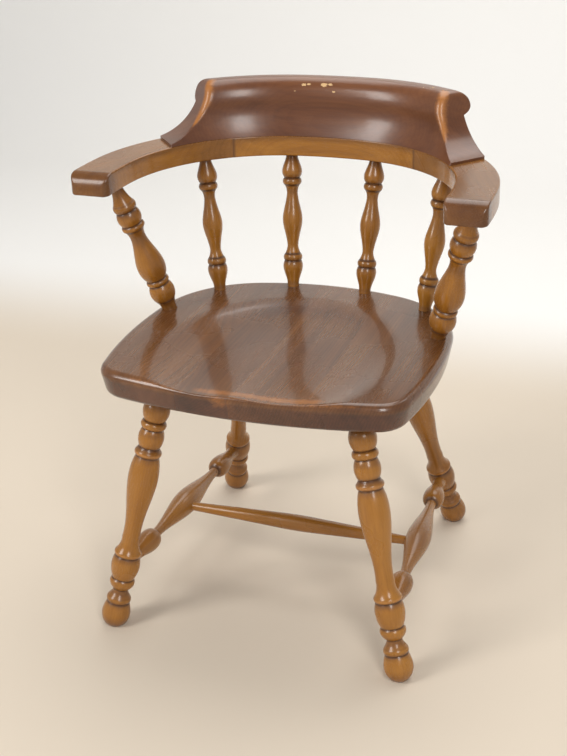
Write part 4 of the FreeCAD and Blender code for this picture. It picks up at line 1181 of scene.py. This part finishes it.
crest = {
    "height": 0.0845, "waistInset": 0.016, "waistHeight": 0.049, "rollDepth": 0.026,
    "crownInset": 0.050, "rollInset": 0.0765, "rollHeight": 0.063, "nibHeight": 0.050,
    "cutAngle": math.radians(40.0), "footAngle": math.radians(33.95), "lip": 0.004,
    "endRun": 0.088, "shoulderRun": 0.0705, "shoulderHeight": 0.066,
    "ridgeFoot": 0.0022, "ridgeTop": 0.012, "backRidge": 0.003,
    "acrossCount": 14, "ridgeCount": 9, "leastStep": 0.00012,
    "toner": 0.6, "ridgeWear": 0.8, "edgeWear": 0.25,
    # bare spots, half as high as wide: x, y, height over the floor, and size; the last four, two pairs
    # down the left end's ridge, are painted highlights
    "chipsAndHighlights": [
        (-0.046, 0.199, 0.7530, 0.0050), (-0.038, 0.200, 0.7540, 0.0035),
        (-0.014, 0.2014, 0.7537, 0.0065), (-0.004, 0.202, 0.7545, 0.0045),
        (-0.059, 0.1926, 0.7441, 0.0026), (0.003, 0.1962, 0.7447, 0.0034),
        (0.117, 0.1893, 0.7546, 0.0035), (0.148, 0.185, 0.7595, 0.0060),
        (0.163, 0.181, 0.7600, 0.0070), (-0.065, 0.186, 0.7203, 0.0022),
        (-0.026, 0.1792, 0.6950, 0.0030), (-0.190, 0.155, 0.7300, 0.0045),
        # painted highlights: two pairs of light spots down the left end's ridge
        (-0.189, 0.153, 0.7180, 0.0045), (-0.194, 0.147, 0.7060, 0.0050),
        (-0.200, 0.139, 0.6930, 0.0045),
    ],
}


def crestFront():
    # inset and height of the scooped front and the rolled top edge
    waist, high = crest["waistInset"], crest["waistHeight"]
    rollEnd, rise, pull = waist + crest["rollDepth"], crest["height"] - high, 0.5523
    scoop = bezier([(0, 0), (waist * 0.5, high * 0.28), (waist, high * 0.6), (waist, high)], 26)
    roll = bezier([(waist, high), (waist, high + pull * rise), (rollEnd - pull * crest["rollDepth"],
                  crest["height"]), (rollEnd, crest["height"])], 26)
    return np.concatenate([scoop, roll[1:]])


def crestBack():
    # inset and height up the back: upright to the crease, out under the roll, and over it to the top
    foot, nib, crown, top = bow["width"], crest["nibHeight"], crest["crownInset"], crest["height"]
    roll, high = crest["rollInset"], crest["rollHeight"]
    ledge, rise, overhang, drop = roll - foot, high - nib, roll - crown, top - high
    under = bezier([(foot, nib), (foot + 0.45 * ledge, nib + 0.15 * rise),
                    (roll, nib + 0.46 * rise), (roll, high)], 16)
    over = bezier([(roll, high), (roll, high + 0.6 * drop),
                   (crown + 0.45 * overhang, top), (crown, top)], 24)
    return np.concatenate([[(foot, 0.0)], under, over[1:]])


def crestCut():
    # how far back from its foot the saw cut stands, and the height: sweep and crown
    d = crest
    shoulder = (d["shoulderRun"], d["shoulderHeight"])
    sweep = bezier([(0, d["lip"]), (d["shoulderRun"] * 0.48, d["lip"] * 2.4),
                    (d["shoulderRun"] * 0.85, d["shoulderHeight"] * 0.485), shoulder], 34)
    crown = bezier([shoulder, (d["shoulderRun"] * 1.035, d["shoulderHeight"] * 1.123),
                    (d["endRun"] * 0.865, d["height"]), (d["endRun"], d["height"])], 20)
    return np.concatenate([sweep, crown[1:]])


def crestHeights():
    # every height that the front, the back or the saw cut needs, none closer than a hair to the next
    atLip = crest["lip"] * np.array([0, 0.5, 0.98])
    curves = [curve[:, 1] for curve in (crestFront(), crestBack(), crestCut())]
    heights = np.unique(np.round(np.concatenate([atLip] + curves), 6))
    keep = np.append(True, np.diff(heights) > crest["leastStep"])
    keep[-1] = True
    return heights[keep]


def crestHalfLoop(z):
    # one level slice at every height, from the middle of the front round the end to the middle of
    # the back
    front, back, cut = crestFront(), crestBack(), crestCut()
    inset = np.interp(z, front[:, 1], front[:, 0])
    backInset = np.interp(z, back[:, 1], back[:, 0])
    run = np.interp(z, cut[:, 1], cut[:, 0])
    run = np.where(z < crest["lip"], 0.0, run)
    c, s = math.cos(crest["cutAngle"]), math.sin(crest["cutAngle"])
    foot = onCircle(bowCorner, bow["cornerRadius"] + bow["width"], crest["footAngle"])
    place = foot[0] * c - foot[1] * s - run              # place of the cut across its own direction
    inCorner = place - (bowCorner[0] * c - bowCorner[1] * s)

    def endAngle(across):
        return np.arccos(inCorner / (bow["cornerRadius"] + across)) - crest["cutAngle"]

    ridge = crest["ridgeFoot"] + (crest["ridgeTop"] - crest["ridgeFoot"]) * softStep(z, 0.004, 0.060)

    def rail(across, back):
        # from the middle along the back arc, then the corner arc up to a ridge's width from the end
        fromBack, fromCorner = (bow[key] + across for key in ("backRadius", "cornerRadius"))
        first = math.pi / 2 + (backTurn - math.pi / 2) * np.linspace(0, 1, 70)[:-1]
        end = endAngle(across) + back / fromCorner
        second = backTurn + (end[:, None] - backTurn) * np.linspace(0, 1, 90)
        return np.concatenate([onCircle(bowBack, fromBack[:, None], first),
                               onCircle(bowCorner, fromCorner[:, None], second)], 1)

    frontRail = rail(inset, ridge)
    backRail = rail(backInset, crest["backRidge"])[:, ::-1]
    nose = onCircle(bowCorner, bow["cornerRadius"] + inset, endAngle(inset))
    heel = onCircle(bowCorner, bow["cornerRadius"] + backInset, endAngle(backInset))
    length = np.linalg.norm(heel - nose, axis=1)[:, None]
    way = (heel - nose) / length
    frontEdge = nose + way * np.minimum(ridge[:, None], 0.4 * length)
    backEdge = heel - way * np.minimum(crest["backRidge"], 0.3 * length)
    t = np.linspace(0, 1, crest["ridgeCount"])[None, 1:-1, None]

    def round3(a, b, c):
        # quadratic curve from a to c, drawn towards the corner b
        return (1 - t) ** 2 * a[:, None] + 2 * t * (1 - t) * b[:, None] + t * t * c[:, None]

    share = np.linspace(0, 1, crest["acrossCount"])[None, :, None]
    cutLine = frontEdge[:, None] + (backEdge - frontEdge)[:, None] * share
    loop = np.concatenate([frontRail, round3(frontRail[:, -1], nose, frontEdge), cutLine,
                           round3(backEdge, heel, backRail[:, 0]), backRail], 1)
    return loop, frontRail.shape[1]


def crestCap(ring, half, count):
    # level grid between the front and the back of a slice
    frontPart = ring[:half]
    backPart = ring[::-1][:half]
    share = np.linspace(0, 1, count)[:, None, None]
    return frontPart[None] + (backPart - frontPart)[None] * share


def makeCrest():
    z = crestHeights()
    loop, railCount = crestHalfLoop(z)
    half = loop.shape[1]
    mirrored = loop[:, 1:-1][:, ::-1] * np.array([-1, 1])
    whole = np.concatenate([loop, mirrored], 1)
    height = np.broadcast_to((bow["top"] + z)[:, None], whole.shape[:2])
    rings = np.concatenate([whole, height[..., None]], -1)
    columns = rings.shape[1]
    points, faces = [rings.reshape(-1, 3)], gridQuads(len(z), columns, True).tolist()
    frontCount = railCount + crest["ridgeCount"] - 1
    total = len(points[0])
    for level in (0, -1):
        for side in (1, -1):
            cap = crestCap(rings[level][:half], frontCount, crest["acrossCount"]) * (side, 1, 1)
            faces += (gridQuads(cap.shape[0], cap.shape[1], False) + total).tolist()
            points.append(cap.reshape(-1, 3))
            total += cap.shape[0] * cap.shape[1]
    points = np.concatenate(points)
    chipsAndHighlights = np.array(crest["chipsAndHighlights"])
    apart = np.linalg.norm((points[:, None] - chipsAndHighlights[None, :, :3]) * np.array([1, 1, 2]), axis=2)
    # bare chips and the painted highlight spots
    bare = np.exp(-(apart / chipsAndHighlights[:, 3]) ** 2).max(1)
    ridgeMiddle = railCount + crest["ridgeCount"] / 2 - 1
    column = np.arange(columns)
    column = np.where(column >= half, 2 * half - 2 - column, column)
    nearRidge = bump(column, ridgeMiddle, 5.0)[None] * softStep(z, 0.012, 0.03)[:, None]
    topEdge = softStep(z, crest["height"] - 0.012, crest["height"] - 0.004)[:, None]
    wear = np.maximum(crest["ridgeWear"] * nearRidge, crest["edgeWear"] * topEdge)
    worn = np.append(wear.ravel(), np.zeros(len(points) - wear.size))       # the caps have none
    masks = {"toner": np.full(len(points), crest["toner"]), "worn": worn, "bare": bare}
    mesh = makeMesh("crest_rail_wood", points, faces, masks)
    tidyMesh(mesh)
    setGrain(mesh, (0, bow["innerBackY"], bow["top"]), (1, 0, 0), (0.07, 0.045, 11.0))
    placePiece(mesh, "crest_rail", "crest_wood")


makeCrest()
print("crest rail shaped")


# Floor, backdrop, lamps and air

stageLook = {
    "floor": colour(0.70, 0.61, 0.50), "wall": colour(0.92, 0.91, 0.89), "floorEnds": (0.70, 1.25),
    "wallY": 3.0, "cove": 0.9, "wallHeight": 3.2, "halfWidth": 4.0, "frontY": -4.0,
}


def makeStage():
    # level floor that turns up behind the chair in a quarter circle into a wall
    d = stageLook
    cove = d["cove"]
    line = np.concatenate([
        np.linspace((d["frontY"], 0.0), (d["wallY"] - cove, 0.0), 12)[:-1],
        onCircle((d["wallY"] - cove, cove), cove, np.linspace(-math.pi / 2, 0, 24)),
        np.linspace((d["wallY"], cove), (d["wallY"], d["wallHeight"]), 6)[1:],
    ])
    xs = np.linspace(-d["halfWidth"], d["halfWidth"], 9)
    points = np.stack(np.broadcast_arrays(xs[None, :], line[:, :1], line[:, 1:]), -1)
    mesh = makeMesh("backdrop", points.reshape(-1, 3), gridQuads(len(line), len(xs), False).tolist())
    mesh.shade_smooth()
    f = Finish("pale_paper")
    away = f.part(f.add("TexCoord", None, None, "Object"), "Y")
    shade = f.mixed(f.between(away, *d["floorEnds"]), d["floor"], d["wall"])
    shader = f.add("BsdfPrincipled", None, {"Base Color": shade, "Roughness": 0.7})
    f.add("OutputMaterial", None, {0: shader})
    mesh.materials.append(f.material)
    floor = bpy.data.objects.new("backdrop", mesh)
    bpy.context.scene.collection.objects.link(floor)


lamps = {
    "left": {"place": (-1.9, -2.0, 2.2), "size": (1.0, 1.7), "power": 50.0, "tint": (1.0, 0.98, 0.95)},
    "right": {"place": (1.6, -2.3, 2.3), "size": (0.8, 1.6), "power": 42.0, "tint": (1.0, 0.99, 0.97)},
    "above": {"place": (0.2, 1.2, 2.9), "size": (2.4, 2.4), "power": 50.0, "tint": (1.0, 0.99, 0.97)},
}


def makeLamps():
    for name, look in lamps.items():
        data = bpy.data.lights.new("lamp_" + name, "AREA")
        data.shape = "RECTANGLE"
        data.size, data.size_y = look["size"]
        data.energy = look["power"]
        data.color = look["tint"]
        lamp = bpy.data.objects.new("lamp_" + name, data)
        lamp.location = look["place"]
        aim = Vector((0, 0, 0.4)) - lamp.location
        lamp.rotation_euler = aim.to_track_quat("-Z", "Y").to_euler()
        bpy.context.scene.collection.objects.link(lamp)


air = {"level": 0.52, "overhead": 0.26, "tint": colour(1.0, 0.985, 0.96)}


def makeAir():
    # pale light from all round, brightest level with the chair and weaker overhead
    world = bpy.data.worlds.new("air")
    world.use_nodes = True
    nodes, links = world.node_tree.nodes, world.node_tree.links
    background = nodes["Background"]
    background.inputs["Color"].default_value = air["tint"]
    direction, split = nodes.new("ShaderNodeTexCoord"), nodes.new("ShaderNodeSeparateXYZ")
    fade = nodes.new("ShaderNodeMapRange")
    fade.inputs["To Min"].default_value = air["level"]
    fade.inputs["To Max"].default_value = air["overhead"]
    links.new(direction.outputs["Generated"], split.inputs[0])
    links.new(split.outputs["Z"], fade.inputs["Value"])
    links.new(fade.outputs[0], background.inputs["Strength"])
    bpy.context.scene.world = world


makeStage()
makeLamps()
makeAir()
bpy.context.scene.view_settings.view_transform = "Standard"
print("stage lit")
